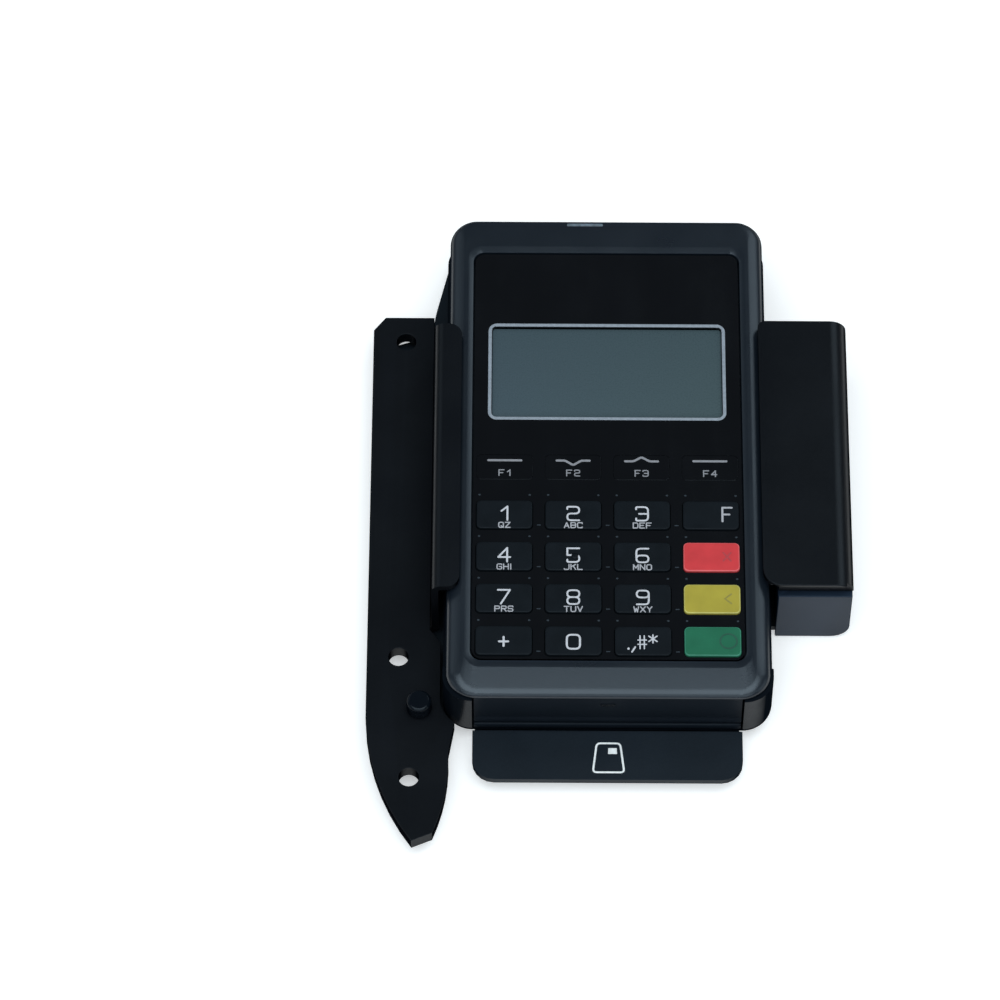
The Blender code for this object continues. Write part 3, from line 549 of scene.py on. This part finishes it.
def ribbon(bm, points, width, low, high, closed=False):
    """A flat printed line along points, with round ends, added to a bmesh."""
    count, stations = len(points), []
    for i, p in enumerate(points):
        before = points[i - 1] if closed or i else p
        after = points[(i + 1) % count] if closed or i < count - 1 else p
        along = (after - before).normalized()
        stations.append((p, along, width / 2))
    if not closed:
        for end, sign in ((0, -1), (-1, 1)):
            p, along, half = stations[end]
            caps = [
                (p + along * sign * half * math.sin(a), along, half * math.cos(a))
                for a in (math.radians(v) for v in (30, 60, 82))
            ]
            stations = caps[::-1] + stations if sign < 0 else stations + caps
    loops = []
    for p, along, half in stations:
        side = Vector((-along.y, along.x)) * half
        left, right = p + side, p - side
        loops.append([bm.verts.new((v.x, v.y, z)) for v, z in (
            (left, low), (left, high), (right, high), (right, low),
        )])
    pairs = list(zip(loops, loops[1:])) + ([(loops[-1], loops[0])] if closed else [])
    for a, b in pairs:
        for i in range(4):
            j = (i + 1) % 4
            bm.faces.new((a[i], b[i], b[j], a[j]))
    if not closed:
        bm.faces.new(loops[0])
        bm.faces.new(loops[-1][::-1])


def eased(points, radius, closed=False, steps=4):
    """A polyline with its corners rounded."""
    out, count = [], len(points)
    for i, p in enumerate(points):
        if not closed and i in (0, count - 1):
            out.append(p)
            continue
        to_a, to_b = points[i - 1] - p, points[(i + 1) % count] - p
        reach = min(radius, 0.5 * to_a.length, 0.5 * to_b.length)
        start, end = p + to_a.normalized() * reach, p + to_b.normalized() * reach
        for k in range(steps + 1):
            t = k / steps
            out.append(start * (1 - t) ** 2 + p * 2 * t * (1 - t) + end * t * t)
    return out


def letter(bm, character, origin, size, width, low, high):
    """One stroke character with its lower left corner at origin. Each stroke lies a hair higher than
    the last, so that no two faces lie in one plane."""
    for index, stroke in enumerate(STROKES[character].split()):
        closed = stroke.endswith("o")
        digits = stroke.rstrip("o")
        points = [
            Vector((
                origin[0] + width / 2 + int(digits[i]) / 4 * (size[0] - width),
                origin[1] + width / 2 + int(digits[i + 1]) / 6 * (size[1] - width),
            ))
            for i in range(0, len(digits), 2)
        ]
        radius = 0.3 * size[0]
        ribbon(bm, eased(points, radius, closed), width, low, high + index * 0.004 * MM, closed)


def word(bm, text, centre, size, width, gap, z):
    """A word of stroke characters, centred."""
    narrow = {"I": 0.35, "1": 0.75}
    widths = [size[0] * narrow.get(c, 1) for c in text]
    x = centre[0] - (sum(widths) + gap * (len(text) - 1)) / 2
    for character, wide in zip(text, widths):
        shift = (size[0] - wide) / 2
        corner = (x - shift, centre[1] - size[1] / 2)
        letter(bm, character, corner, size, width, z - INK_HEIGHT, z + INK_HEIGHT)
        x += wide + gap


# ---------------------------------------------------------------- the terminal

# The bezel's section from its outer wall to its inner chamfer: height below the face, then the
# distance in from the side walls, the lower end and the upper end
BEZEL_SECTION = (
    (2.40, 0.00, 0.00, 0.00), (1.75, 0.10, 0.02, 0.01), (1.20, 0.34, 0.06, 0.02), (0.78, 0.72, 0.14, 0.05),
    (0.48, 1.20, 0.26, 0.12), (0.27, 1.80, 0.44, 0.26), (0.12, 2.45, 0.75, 0.60), (0.04, 2.90, 1.20, 1.50),
    (0.00, 3.20, 1.80, 3.50), (0.00, 3.80, 6.20, 6.55), (0.02, 4.02, 6.50, 6.74), (0.06, 4.30, 6.90, 7.07),
    (0.13, 4.66, 7.42, 7.58), (0.21, 4.96, 7.88, 8.18), (0.42, 5.04, 7.96, 8.26),
)
END_SLOPE_START = -49.0 * MM
END_TILT = 0.085
END_SLOPE = 10.0  # extra fall per squared metre beyond the start


def build_bezel():
    """The raised frame round the panel: rounded outside, with a chamfer down to the panel and a lower
    end that falls away towards the card slot."""
    side = PANEL_LOW.x - CLEARANCE - BEZEL_LOW.x
    lower = PANEL_LOW.y - CLEARANCE - BEZEL_LOW.y
    upper = BEZEL_HIGH.y - PANEL_HIGH.y - CLEARANCE
    rings = []

    def ring(z, inset, bottom, top, falls=True):
        share = min(inset / side, 1)
        points = plan(
            BEZEL_LOW, BEZEL_HIGH, LOWER_CORNER + (POCKET_CORNER - LOWER_CORNER) * share,
            UPPER_CORNER + (POCKET_CORNER - UPPER_CORNER) * share, 14, (inset, inset, bottom, top), 24,
        )
        level = []
        for x, y in points:
            beyond = max(0, END_SLOPE_START - y)
            ramp = beyond * beyond / (beyond + MM)
            fall = END_TILT * ramp + END_SLOPE * beyond ** 2 if falls else 0
            level.append((x, y, z - fall))
        rings.append(level)

    ring(PARTING_Z, 0, 0, 0, False)
    for drop, inset, bottom, top in BEZEL_SECTION:
        ring(BEZEL_HIGH.z - drop * MM, inset * MM, bottom * MM, top * MM)
    ring(BEZEL_HIGH.z - 0.6 * MM, side, lower, upper)
    ring(LEDGE_Z, side, lower, upper)
    ledge = 0.6 * MM
    ring(LEDGE_Z, side + ledge, lower + ledge, upper + ledge)
    ring(CEILING_Z, side + ledge, lower + ledge, upper + ledge)
    ring(CEILING_Z, WALL, WALL, WALL, False)
    ring(PARTING_Z, WALL, WALL, WALL, False)
    bezel = make("bezel", loft(rings, closed=True))
    notch = block(
        (BEZEL_LOW.x - MM, BEZEL_LOW.y - MM, 9 * MM),
        (BEZEL_HIGH.x + MM, SHELL_LOW.y + MOUTH_DEPTH + CLEARANCE, LEDGE_Z + 0.05 * MM),
    )
    window = block(
        LIGHT_LOW - Vector((0.04, -0.12, 0.1)) * MM,
        (LIGHT_HIGH.x + 0.04 * MM, LIGHT_HIGH.y + 0.16 * MM, BEZEL_HIGH.z + MM), 0.3 * MM, 0.3 * MM,
    )
    combine(bezel, [notch, window], "DIFFERENCE")
    soften(bezel, 0.15 * MM)
    place(bezel, "terminal", "satin_plastic", ["front_bezel"])


def build_status_light():
    """A frosted bar that fills its window near the upper end, just below the face."""
    shift = Vector((0, 0.13, 0.05)) * MM
    low, high = LIGHT_LOW + shift, LIGHT_HIGH + shift
    rings = []
    for z, inset in ((low.z, 0), (high.z - 0.08 * MM, 0), (high.z - 0.02 * MM, 0.03), (high.z, 0.1)):
        rings.append(at(plan(low, high, 0.3 * MM, 0.3 * MM, 5, [inset * MM] * 4), z))
    made = make("status_window", loft(rings))
    soften(made, 0)
    place(made, "terminal", "light_guide", ["status_light"])


def rounded_body(low, high, lower, upper, rounding, steps=12, arc_steps=10):
    """A body whose lower rim is rounded by a quarter circle and whose top is flat."""
    rings = []
    for i in range(arc_steps + 1):
        a = math.pi / 2 * i / arc_steps
        inset = rounding * (1 - math.sin(a))
        points = plan(
            low, high, max(lower - inset * 0.85, 0.4 * MM), max(upper - inset * 0.85, 0.4 * MM), steps,
            [inset] * 4,
        )
        rings.append(at(points, low[2] + rounding * (1 - math.cos(a))))
    rings.append(at(plan(low, high, lower, upper, steps), high[2]))
    return loft(rings)


def build_shell():
    """The glossy rear shell with its two corner posts, the reader's mouth, the battery bay and bores."""
    low, high = SHELL_LOW, SHELL_HIGH
    parting = PARTING_Z - CLEARANCE
    shell = make("shell", rounded_body(low, (high.x, high.y, parting), LOWER_CORNER, UPPER_CORNER, 3.5 * MM))
    posts = block(
        (low.x, low.y, parting - 3 * MM), (high.x, low.y + MOUTH_DEPTH, high.z), LOWER_CORNER, 0.3 * MM, 14,
    )
    combine(shell, [posts], "UNION")
    floor_z = DOOR_HIGH.z + 0.2 * MM
    mouth = block(
        (-MOUTH_HALF, low.y - MM, floor_z), (MOUTH_HALF, low.y + MOUTH_DEPTH + MM, 18 * MM),
    )
    cavity = block(
        (low.x + WALL, low.y + WALL, floor_z), (high.x - WALL, high.y - WALL, parting + MM),
        LOWER_CORNER - WALL, UPPER_CORNER - WALL,
    )
    bay = block(
        (DOOR_LOW.x - CLEARANCE, DOOR_LOW.y - CLEARANCE, low.z - MM),
        (DOOR_HIGH.x + CLEARANCE, high.y + MM, floor_z + 0.2 * MM), 1.0 * MM, 0.3 * MM,
    )
    combine(shell, [mouth, cavity, bay], "DIFFERENCE")
    wells = []
    for index in range(1, 5):
        screw_low, screw_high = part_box(f"terminal_screw_{index}")
        centre, radius = (screw_low + screw_high) / 2, (screw_high.x - screw_low.x) / 2 + 0.3 * MM
        wells.append(disc(centre, radius, low.z - MM, low.z + 1.4 * MM))
    combine(shell, wells, "DIFFERENCE")
    soften(shell, 0.18 * MM, 3)
    place(shell, "terminal", "gloss_shell", ["rear_shell"])


def disc(centre, radius, low, high, sides=28):
    """A round cutter between two heights."""
    points = circle(centre.x, centre.y, radius, sides)
    return make("tool", loft([at(points, low), at(points, high)]))


def key_nodes():
    return [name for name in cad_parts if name.startswith("key_")]


def is_soft_key(name):
    """The four keys under the display, which lie flush in the panel and have its finish."""
    return name in SOFT_KEYS


def cap_box(name):
    """The part of a key that stands through the panel."""
    low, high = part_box(name)
    rim = Vector((KEY_FLANGE, KEY_FLANGE, 0))
    return low + rim, high - rim


def build_panel():
    """The polished front plate, with a crisp opening for each key and for the display."""
    points = plan(PANEL_LOW, PANEL_HIGH, POCKET_CORNER - CLEARANCE, POCKET_CORNER - CLEARANCE, 10)
    panel = make("panel", loft([at(points, PANEL_LOW.z), at(points, PANEL_HIGH.z)]))
    holes = []
    for name in key_nodes():
        low, high = cap_box(name)
        gap = 0.05 * MM if is_soft_key(name) else 0.13 * MM
        grow = Vector((gap, gap, 0))
        low, high = low - grow, high + grow
        low.z, high.z = PANEL_LOW.z - MM, PANEL_HIGH.z + MM
        holes.append(block(low, high, KEY_CORNER + gap, KEY_CORNER + gap, 6, name + "_hole"))
    low, high = TRIM_LOW - Vector((0.05, 0.05, 0)) * MM, TRIM_HIGH + Vector((0.05, 0.05, 0)) * MM
    low.z, high.z = PANEL_LOW.z - MM, PANEL_HIGH.z + MM
    corner = SCREEN_CORNER + 0.05 * MM
    holes.append(block(low, high, corner, corner, 10, "window_hole"))
    combine(panel, holes, "DIFFERENCE")
    soften(panel, 0.03 * MM)
    place(panel, "terminal", "gloss_panel", ["front_panel"])


def build_display():
    """The printed line round the display, its dark well, and the liquid-crystal surface below it."""
    line, corner = 0.75 * MM, SCREEN_CORNER
    rings = []

    def ring(inset, z):
        radius = corner - inset
        rings.append(at(plan(TRIM_LOW, TRIM_HIGH, radius, radius, 10, [inset] * 4), z))

    top = TRIM_HIGH.z
    ring(0.0, TRIM_LOW.z)
    ring(0.0, top - 0.07 * MM)
    ring(0.05 * MM, top - 0.01 * MM)
    ring(0.10 * MM, top)
    ring(line - 0.18 * MM, top)
    ring(line - 0.10 * MM, top - 0.02 * MM)
    ring(line, top - 0.10 * MM)
    ring(line, TRIM_LOW.z)
    trim = make("screen_line", loft(rings, closed=True))
    soften(trim, 0)
    place(trim, "terminal", "silver_ink", ["display_trim"])
    trim.data.materials.append(EDGE_BLACK)
    inner_x = TRIM_HIGH.x - line - 0.02 * MM
    for face in trim.data.polygons:
        centre = face.center
        inside = (
            abs(centre.x) < inner_x + 0.03 * MM
            and TRIM_LOW.y + line - 0.01 * MM < centre.y < TRIM_HIGH.y - line + 0.01 * MM
        )
        if centre.z < top - 0.08 * MM or (inside and centre.z < top - 0.05 * MM):
            face.material_index = 1

    low, high = LENS_LOW, LENS_HIGH
    face_z = high.z - 0.35 * MM
    grow = 0.2 * MM
    rings = [at(plan(low, high, 0.4 * MM, 0.4 * MM, 5, [-grow] * 4), low.z)]
    for drop, inset in ((0.05, -0.2), (0.0, -0.15)):
        rings.append(at(plan(low, high, 0.4 * MM, 0.4 * MM, 5, [inset * MM] * 4), face_z - drop * MM))
    lens = make("screen_glass", loft(rings))
    soften(lens, 0)
    place(lens, "terminal", "display_window", ["display_lens"])


def build_key(name):
    """A silicone cap on its flange, with soft shoulders and a very slightly crowned top."""
    low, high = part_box(name)
    cap_low, cap_high = cap_box(name)
    flange_top = low.z + KEY_FLANGE_HEIGHT
    rings = [
        at(plan(low, high, KEY_CORNER, KEY_CORNER, 5), low.z),
        at(plan(low, high, KEY_CORNER, KEY_CORNER, 5), flange_top),
        at(plan(cap_low, cap_high, KEY_CORNER, KEY_CORNER, 5), flange_top),
    ]
    section = ((0.1, 0), (0.03, 0.01), (0.0, 0.04)) if is_soft_key(name) else (
        (0.35, 0), (0.16, 0.02), (0.08, 0.06), (0.03, 0.13), (0.01, 0.22), (0.0, 0.35), (0.0, 0.6),
    )
    for drop, inset in section:
        radius = max(KEY_CORNER - 0.4 * inset * MM, 0.5 * MM)
        points = plan(cap_low, cap_high, radius, radius, 5, [inset * MM] * 4)
        rings.append(at(points, high.z - drop * MM))
    cap = make(name + "_cap", loft(rings))
    soften(cap, 0, clean=False)
    slot = KEY_SLOTS.get(name, "key_rubber")
    place(cap, name, slot, [name], MATERIALS["gloss_panel"] if is_soft_key(name) else None)
    # The shoulder faces of a coloured cap take the lighter rim rubber, a painted highlight.
    if name in RIM_HIGHLIGHTS:
        cap.data.materials.append(RIM_HIGHLIGHTS[name])
        for face in cap.data.polygons:
            if high.z - 0.3 * MM < face.center.z < high.z - 0.008 * MM:
                face.material_index = 1


def key_ink(name, bm, look, slot="silver_ink", part="_legend"):
    """A finished legend that rides with its key."""
    place(flat_ink(name + part, bm), name, slot, look=look)


def build_legends():
    digit, small = (2.85 * MM, 3.65 * MM), (1.2 * MM, 1.45 * MM)
    for name, (number, letters) in LEGENDS.items():
        low, high = cap_box(name)
        centre = (low + high) / 2
        bm = bmesh.new()
        word(bm, number, (centre.x, centre.y + 0.2 * MM), digit, 0.39 * MM, 0, high.z)
        key_ink(name, bm, LEGEND_INK)
        bm = bmesh.new()
        word(bm, letters, (centre.x, centre.y - 2.6 * MM), small, 0.24 * MM, 0.16 * MM, high.z)
        key_ink(name, bm, LETTER_INK, part="_letters")
    for name, marks in SIGNS.items():
        low, high = cap_box(name)
        centre = (low + high) / 2
        bm = bmesh.new()
        for text, x, y, width, height, stroke in marks:
            place_at = (centre.x + x * MM, centre.y + y * MM)
            word(bm, text, place_at, (width * MM, height * MM), stroke * MM, 0, high.z)
        key_ink(name, bm, LETTER_INK if name == "key_function" else LEGEND_INK)


def build_function_icons():
    """A line over each soft key, dipped on the second and peaked on the third, with its label."""
    for name, rise in SOFT_KEYS.items():
        low, high = cap_box(name)
        x, z = (low.x + high.x) / 2, high.z
        y = high.y - 1.38 * MM if rise <= 0 else high.y - 1.48 * MM
        points = [Vector((x - 3.4 * MM, y)), Vector((x + 3.4 * MM, y))]
        if rise:
            points[1:1] = [
                Vector((x - 1.7 * MM, y)), Vector((x, y + rise * MM)), Vector((x + 1.7 * MM, y)),
            ]
        bm = bmesh.new()
        ribbon(bm, eased(points, 0.35 * MM), 0.5 * MM, z - INK_HEIGHT, z + INK_HEIGHT)
        word(bm, "F" + name[-1], (x, high.y - 4.4 * MM), (1.3 * MM, 1.65 * MM), 0.25 * MM, 0.35 * MM, z)
        key_ink(name, bm, GREY_INK)


def build_colour_marks():
    """Marks near the right end of the three coloured keys: cross, arrow, ring. They are embossed tone on
    tone, and are drawn in a darker tone of each cap, which is painted shade.
    """
    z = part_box("key_cancel")[1].z
    for name in KEY_SLOTS:
        low, high = cap_box(name)
        x, y = high.x - 2.6 * MM, (low.y + high.y) / 2
        bm = bmesh.new()
        if name == "key_cancel":
            for sign in (-1, 1):
                ends = [Vector((x + s * 0.75 * MM, y + s * sign * 0.95 * MM)) for s in (-1, 1)]
                ribbon(bm, ends, 0.4 * MM, z - INK_HEIGHT, z + INK_HEIGHT + sign * 0.003 * MM)
        elif name == "key_clear":
            corners = ((0.7, 1.1), (-0.6, 0), (0.7, -1.1))
            points = [Vector((x + dx * MM, y + dy * MM)) for dx, dy in corners]
            ribbon(bm, points, 0.4 * MM, z - INK_HEIGHT, z + INK_HEIGHT)
        else:
            points = [Vector(point) for point in circle(x, y, 1.7 * MM, 32)]
            ribbon(bm, points, 0.35 * MM, z - INK_HEIGHT, z + INK_HEIGHT, closed=True)
        key_ink(name, bm, MARK_SHADE_INKS[name], KEY_SLOTS[name])


def build_tactile_mark():
    """The raised dot at the middle of the middle digit key."""
    low, high = cap_box("key_5")
    centre = (low + high) / 2
    centre.x += 0.3 * MM
    rings = [
        at(circle(centre.x, centre.y, radius * MM, 24), high.z + rise * MM)
        for rise, radius in ((-0.1, 0.75), (0.0, 0.75), (0.1, 0.66), (0.17, 0.5), (0.21, 0.3), (0.22, 0.1))
    ]
    dot = make("key_5_dot", loft(rings))
    soften(dot, 0)
    place(dot, "key_5", "key_rubber")


def build_panel_marks():
    """Small printed dots above each key's corners and dashes between the columns."""
    z = PANEL_HIGH.z
    centres = [sum(cap_box(name), Vector()) / 2 for name in key_nodes() if not is_soft_key(name)]
    rows = sorted({round(c.y, 6) for c in centres}, reverse=True)
    columns = sorted({round(c.x, 6) for c in centres})
    bm = bmesh.new()
    for y in rows:
        for x in columns:
            for side in (-1, 1):
                print_line(bm, (x + side * 5.2 * MM, y + 4.95 * MM), 0.05 * MM, 0.4 * MM, z)
        for a, b in zip(columns, columns[1:]):
            print_line(bm, ((a + b) / 2, y - 2.3 * MM), 0.3 * MM, 0.24 * MM, z)
    place(flat_ink("panel_marks", bm), "terminal", "silver_ink", look=FAINT_INK)


def print_line(bm, centre, reach, width, z):
    """A short level printed line."""
    centre, reach = Vector(centre), Vector((reach, 0))
    ribbon(bm, [centre - reach, centre + reach], width, z - INK_HEIGHT, z + INK_HEIGHT)


def flat_ink(name, bm):
    """A printed mark of this bmesh, shaded flat."""
    for face in bm.faces:
        face.smooth = False
    return make(name, bm)


def build_slot_surround():
    """The dark end piece: a recessed face over a rolled lip, with the card slot under the lip."""
    low, high = SURROUND_LOW, SURROUND_HIGH
    face = [  # (y back from the front, z)
        (low.y + 0.9 * MM, high.z), (low.y + 0.35 * MM, high.z - 0.15 * MM),
        (low.y + 0.2 * MM, high.z - 0.6 * MM), (low.y + 0.3 * MM, 8.3 * MM),
        (low.y + 0.22 * MM, 7.8 * MM), (low.y + 0.05 * MM, 7.4 * MM),
        (low.y, 7.0 * MM), (low.y, 6.5 * MM), (low.y + 0.12 * MM, 6.25 * MM), (low.y + 0.45 * MM, 6.15 * MM),
        (low.y + 3.4 * MM, 6.15 * MM), (low.y + 3.4 * MM, 5.35 * MM),
        (low.y + 0.6 * MM, 5.3 * MM), (low.y + 0.15 * MM, 5.15 * MM), (low.y, 4.9 * MM), (low.y, low.z),
        (high.y, low.z), (high.y, high.z),
    ]
    rings = [[(x, y, z) for y, z in face] for x in (low.x, high.x)]
    surround = make("slot_end", loft(rings))
    soften(surround, 0.1 * MM)
    place(surround, "terminal", "slot_plastic", ["slot_surround"])
    mark = bmesh.new()
    ends = [Vector((side * 1.2 * MM, 0)) for side in (-1, 1)]
    ribbon(mark, ends, 0.8 * MM, -0.02 * MM, 0.15 * MM)
    mark.transform(upright(Vector((0, low.y + 0.2 * MM, 13.2 * MM))))
    sensor = make("end_mark", mark)
    soften(sensor, 0.04 * MM)
    place(sensor, "terminal", "gloss_shell")


def upright(origin):
    """Turns a piece drawn flat so that it stands on a wall facing -Y at origin."""
    return Matrix.Translation(origin) @ Matrix.Rotation(math.pi / 2, 4, "X")


def build_battery_door():
    """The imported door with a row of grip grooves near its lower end."""
    door = from_cad("battery_door", "battery_cover")
    half_length, width, depth, end_radius = 9 * MM, 0.8 * MM, 0.35 * MM, 0.39 * MM
    grooves = []
    for i in range(7):
        y = DOOR_LOW.y + (6 + 1.8 * i) * MM
        low = (-half_length, y, DOOR_LOW.z - MM)
        high = (half_length, y + width, DOOR_LOW.z + depth)
        grooves.append(block(low, high, end_radius, end_radius, 5))
    combine(door, grooves, "DIFFERENCE")
    soften(door, 0.15 * MM)
    place(door, "battery_door", "satin_plastic", ["battery_door"])


# ---------------------------------------------------------------- the cradle

def bent_sheet(path, thickness):
    """A sheet folded along a path of stations (x, z, y_low, y_high) on its middle plane."""
    rings, count = [], len(path)
    for i, (x, z, y_low, y_high) in enumerate(path):
        before, after = path[max(i - 1, 0)], path[min(i + 1, count - 1)]
        along = Vector((after[0] - before[0], after[1] - before[1])).normalized() * thickness / 2
        outer, inner = (x - along.y, z + along.x), (x + along.y, z - along.x)
        rings.append([
            (outer[0], y_low, outer[1]), (outer[0], y_high, outer[1]),
            (inner[0], y_high, inner[1]), (inner[0], y_low, inner[1]),
        ])
    return loft(rings)


def build_jaw():
    """The clip round the terminal's left edge, folded from one sheet: foot, wall and rounded lip."""
    low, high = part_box("left_jaw")
    sheet, bend, corner = 1.5 * MM, 1.4 * MM, 2.8 * MM
    foot_z, lip_z, wall_x = low.z + sheet / 2, high.z - sheet / 2, JAW_WALL + sheet / 2
    path = [(wall_x - bend - 0.2 * MM, foot_z, low.y, high.y)]
    for i in range(9):
        a = math.radians(-90 + 90 * i / 8)
        path.append((wall_x - bend + bend * math.cos(a), foot_z + bend + bend * math.sin(a), low.y, high.y))
    for i in range(9):
        a = math.radians(180 - 90 * i / 8)
        path.append((wall_x + bend + bend * math.cos(a), lip_z - bend + bend * math.sin(a), low.y, high.y))
    for i in range(9):
        a = math.radians(90 * i / 8)
        cut = corner * (1 - math.cos(a))
        path.append((high.x - corner + corner * math.sin(a), lip_z, low.y + cut, high.y - cut))
    jaw = make("jaw", bent_sheet(path, sheet))
    foot = block((low.x, FOOT_LOW, low.z), (wall_x - sheet / 2, FOOT_HIGH, low.z + sheet), 1.5 * MM, 1.5 * MM)
    combine(jaw, [foot], "UNION")
    bores = []
    for index in (1, 2, 3):
        screw_low, screw_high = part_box(f"rail_screw_{index}")
        bores.append(disc((screw_low + screw_high) / 2, 1.3 * MM, low.z - MM, low.z + 3 * MM))
    combine(jaw, bores, "DIFFERENCE")
    soften(jaw, 0.2 * MM, 3)
    place(jaw, "cradle", "powder_coat", ["left_jaw"])


def build_plain(node, name, slot, width, segments=2, look=None):
    """The shape of one of the cradle's CAD nodes, with its edges broken."""
    made = from_cad(node, name)
    soften(made, width, segments)
    place(made, "cradle", slot, [node], look)


def build_block_cover():
    """The clamp block's cover, whose lower end is stepped back under a thin flange."""
    low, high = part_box("right_block_front")
    cover = from_cad("right_block_front", "block_cover")
    flange, step = 0.8 * MM, 0.9 * MM
    recess = block((low.x - MM, low.y - MM, low.z - MM), (high.x + MM, low.y + step, high.z - flange))
    combine(cover, [recess], "DIFFERENCE")
    soften(cover, 0.25 * MM, 3)
    place(cover, "cradle", "powder_coat", ["right_block_front"])


def build_screws():
    """Countersunk screws with a cross recess in each head."""
    for node in [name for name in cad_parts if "_screw_" in name]:
        low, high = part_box(node)
        centre, radius = (low + high) / 2, (high.x - low.x) / 2
        made = from_cad(node, node + "_head")
        reach, half = 0.62 * radius, 0.13 * radius
        bars = [
            block(
                (centre.x - a, centre.y - b, low.z - MM), (centre.x + a, centre.y + b, low.z + 0.45 * radius),
            )
            for a, b in ((reach, half), (half, reach))
        ]
        combine(made, bars, "DIFFERENCE")
        soften(made, 0.05 * MM)
        place(made, "terminal" if node.startswith("terminal") else "cradle", "steel", [node])


def build_card_icon():
    """The outline of a card with its chip, printed on the tongue."""
    z = TONGUE_Z
    bm = bmesh.new()
    corners = [(-3.0, -67.9), (3.4, -67.9), (2.6, -61.2), (-2.2, -61.2)]
    points = [Vector((x * MM, y * MM)) for x, y in corners]
    ribbon(bm, eased(points, 0.8 * MM, True), 0.4 * MM, z - INK_HEIGHT, z + INK_HEIGHT, closed=True)
    chip = ((0.1, -63.65), (1.95, -63.65), (1.9, -62.3), (0.15, -62.3))
    sheet = loft([at([(x * MM, y * MM) for x, y in chip], z + side * INK_HEIGHT) for side in (-1, 1)])
    chip_mesh = bpy.data.meshes.new("chip")
    sheet.to_mesh(chip_mesh)
    sheet.free()
    bm.from_mesh(chip_mesh)
    place(flat_ink("card_icon", bm), "cradle", "silver_ink", look=ink("icon_ink", "fff3e8", 0.45))


# ---------------------------------------------------------------- camera, light and floor

def towards(azimuth, elevation):
    """The direction from the object to a place at this azimuth and elevation, in degrees."""
    a, e = math.radians(azimuth), math.radians(elevation)
    return Vector((math.sin(a) * math.cos(e), -math.cos(a) * math.cos(e), math.sin(e)))


def build_camera():
    data = bpy.data.cameras.new("camera")
    data.lens, data.sensor_width = CAMERA_LENS, SENSOR_WIDTH
    data.clip_start, data.clip_end = 0.01, 20
    camera = bpy.data.objects.new("camera", data)
    bpy.context.scene.collection.objects.link(camera)
    back = towards(CAMERA_AZIMUTH, CAMERA_ELEVATION)
    camera.location = Vector(AIM) + back * CAMERA_DISTANCE
    camera.rotation_mode = "QUATERNION"
    camera.rotation_quaternion = (-back).to_track_quat("-Z", "Y")
    bpy.context.scene.camera = camera


def softbox(name, azimuth, elevation, distance, size, radiance):
    """A rectangular lamp that faces the object and looks this bright."""
    data = bpy.data.lights.new(name, "AREA")
    data.shape = "RECTANGLE"
    data.size, data.size_y = size
    data.energy = radiance * math.pi * size[0] * size[1]
    data.color = COOL_WHITE
    lamp = bpy.data.objects.new(name, data)
    back = towards(azimuth, elevation)
    lamp.location = back * distance
    lamp.rotation_mode = "QUATERNION"
    lamp.rotation_quaternion = (-back).to_track_quat("-Z", "Y")
    bpy.context.scene.collection.objects.link(lamp)


def build_studio():
    scene = bpy.context.scene
    scene.view_settings.view_transform = "Standard"
    world = bpy.data.worlds.new("studio")
    world.use_nodes = True
    background = world.node_tree.nodes["Background"]
    background.inputs["Color"].default_value = (*WORLD_COLOUR, 1)
    background.inputs["Strength"].default_value = WORLD_STRENGTH
    scene.world = world

    for lamp in SOFTBOXES:
        softbox(*lamp)

    reach, thickness = 2.5, 0.02
    ground = [(-reach, -reach), (reach, -reach), (reach, reach), (-reach, reach)]
    floor = make("floor", loft([at(ground, FLOOR_Z - thickness), at(ground, FLOOR_Z)]))
    n = Nodes("floor_paper")
    n.feed(
        Base_Color=n.blend(n.spread(n.noise(6, 2), 0, 1), linear("f4e4d8"), linear("ffeee2")),
        Roughness=0.9, Specular_IOR_Level=0.1,
        Emission_Color=(0.95, 0.98, 1, 1), Emission_Strength=0.45,
        Normal=n.bump(n.noise(400, 2), 0.02, 0.1 * MM),
    )
    floor.data.materials.append(n.material)


def dress_cad():
    """Gives every CAD node that still shows this script's material for its slot."""
    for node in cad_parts.values():
        for index, old in enumerate(node.data.materials):
            new = MATERIALS.get(old.name.split(".")[0]) if old else None
            if new:
                node.data.materials[index] = new


def main():
    dress_cad()
    build_camera()
    build_studio()
    build_bezel()
    build_status_light()
    build_shell()
    build_panel()
    build_display()
    for name in key_nodes():
        build_key(name)
    build_legends()
    build_function_icons()
    build_colour_marks()
    build_tactile_mark()
    build_panel_marks()
    build_slot_surround()
    build_battery_door()
    build_jaw()
    build_plain("cradle_back", "back_sheet", "powder_coat", width=0.15 * MM, look=TONGUE_COAT)
    build_block_cover()
    build_plain("right_block_rear", "block_housing", "block_plastic", width=0.25 * MM, segments=3)
    build_plain("mount_rail", "rail", "powder_coat", width=0.3 * MM, segments=3)
    build_plain("rail_boss", "rail_stud", "gloss_shell", width=0.1 * MM)
    build_screws()
    build_card_icon()


main()
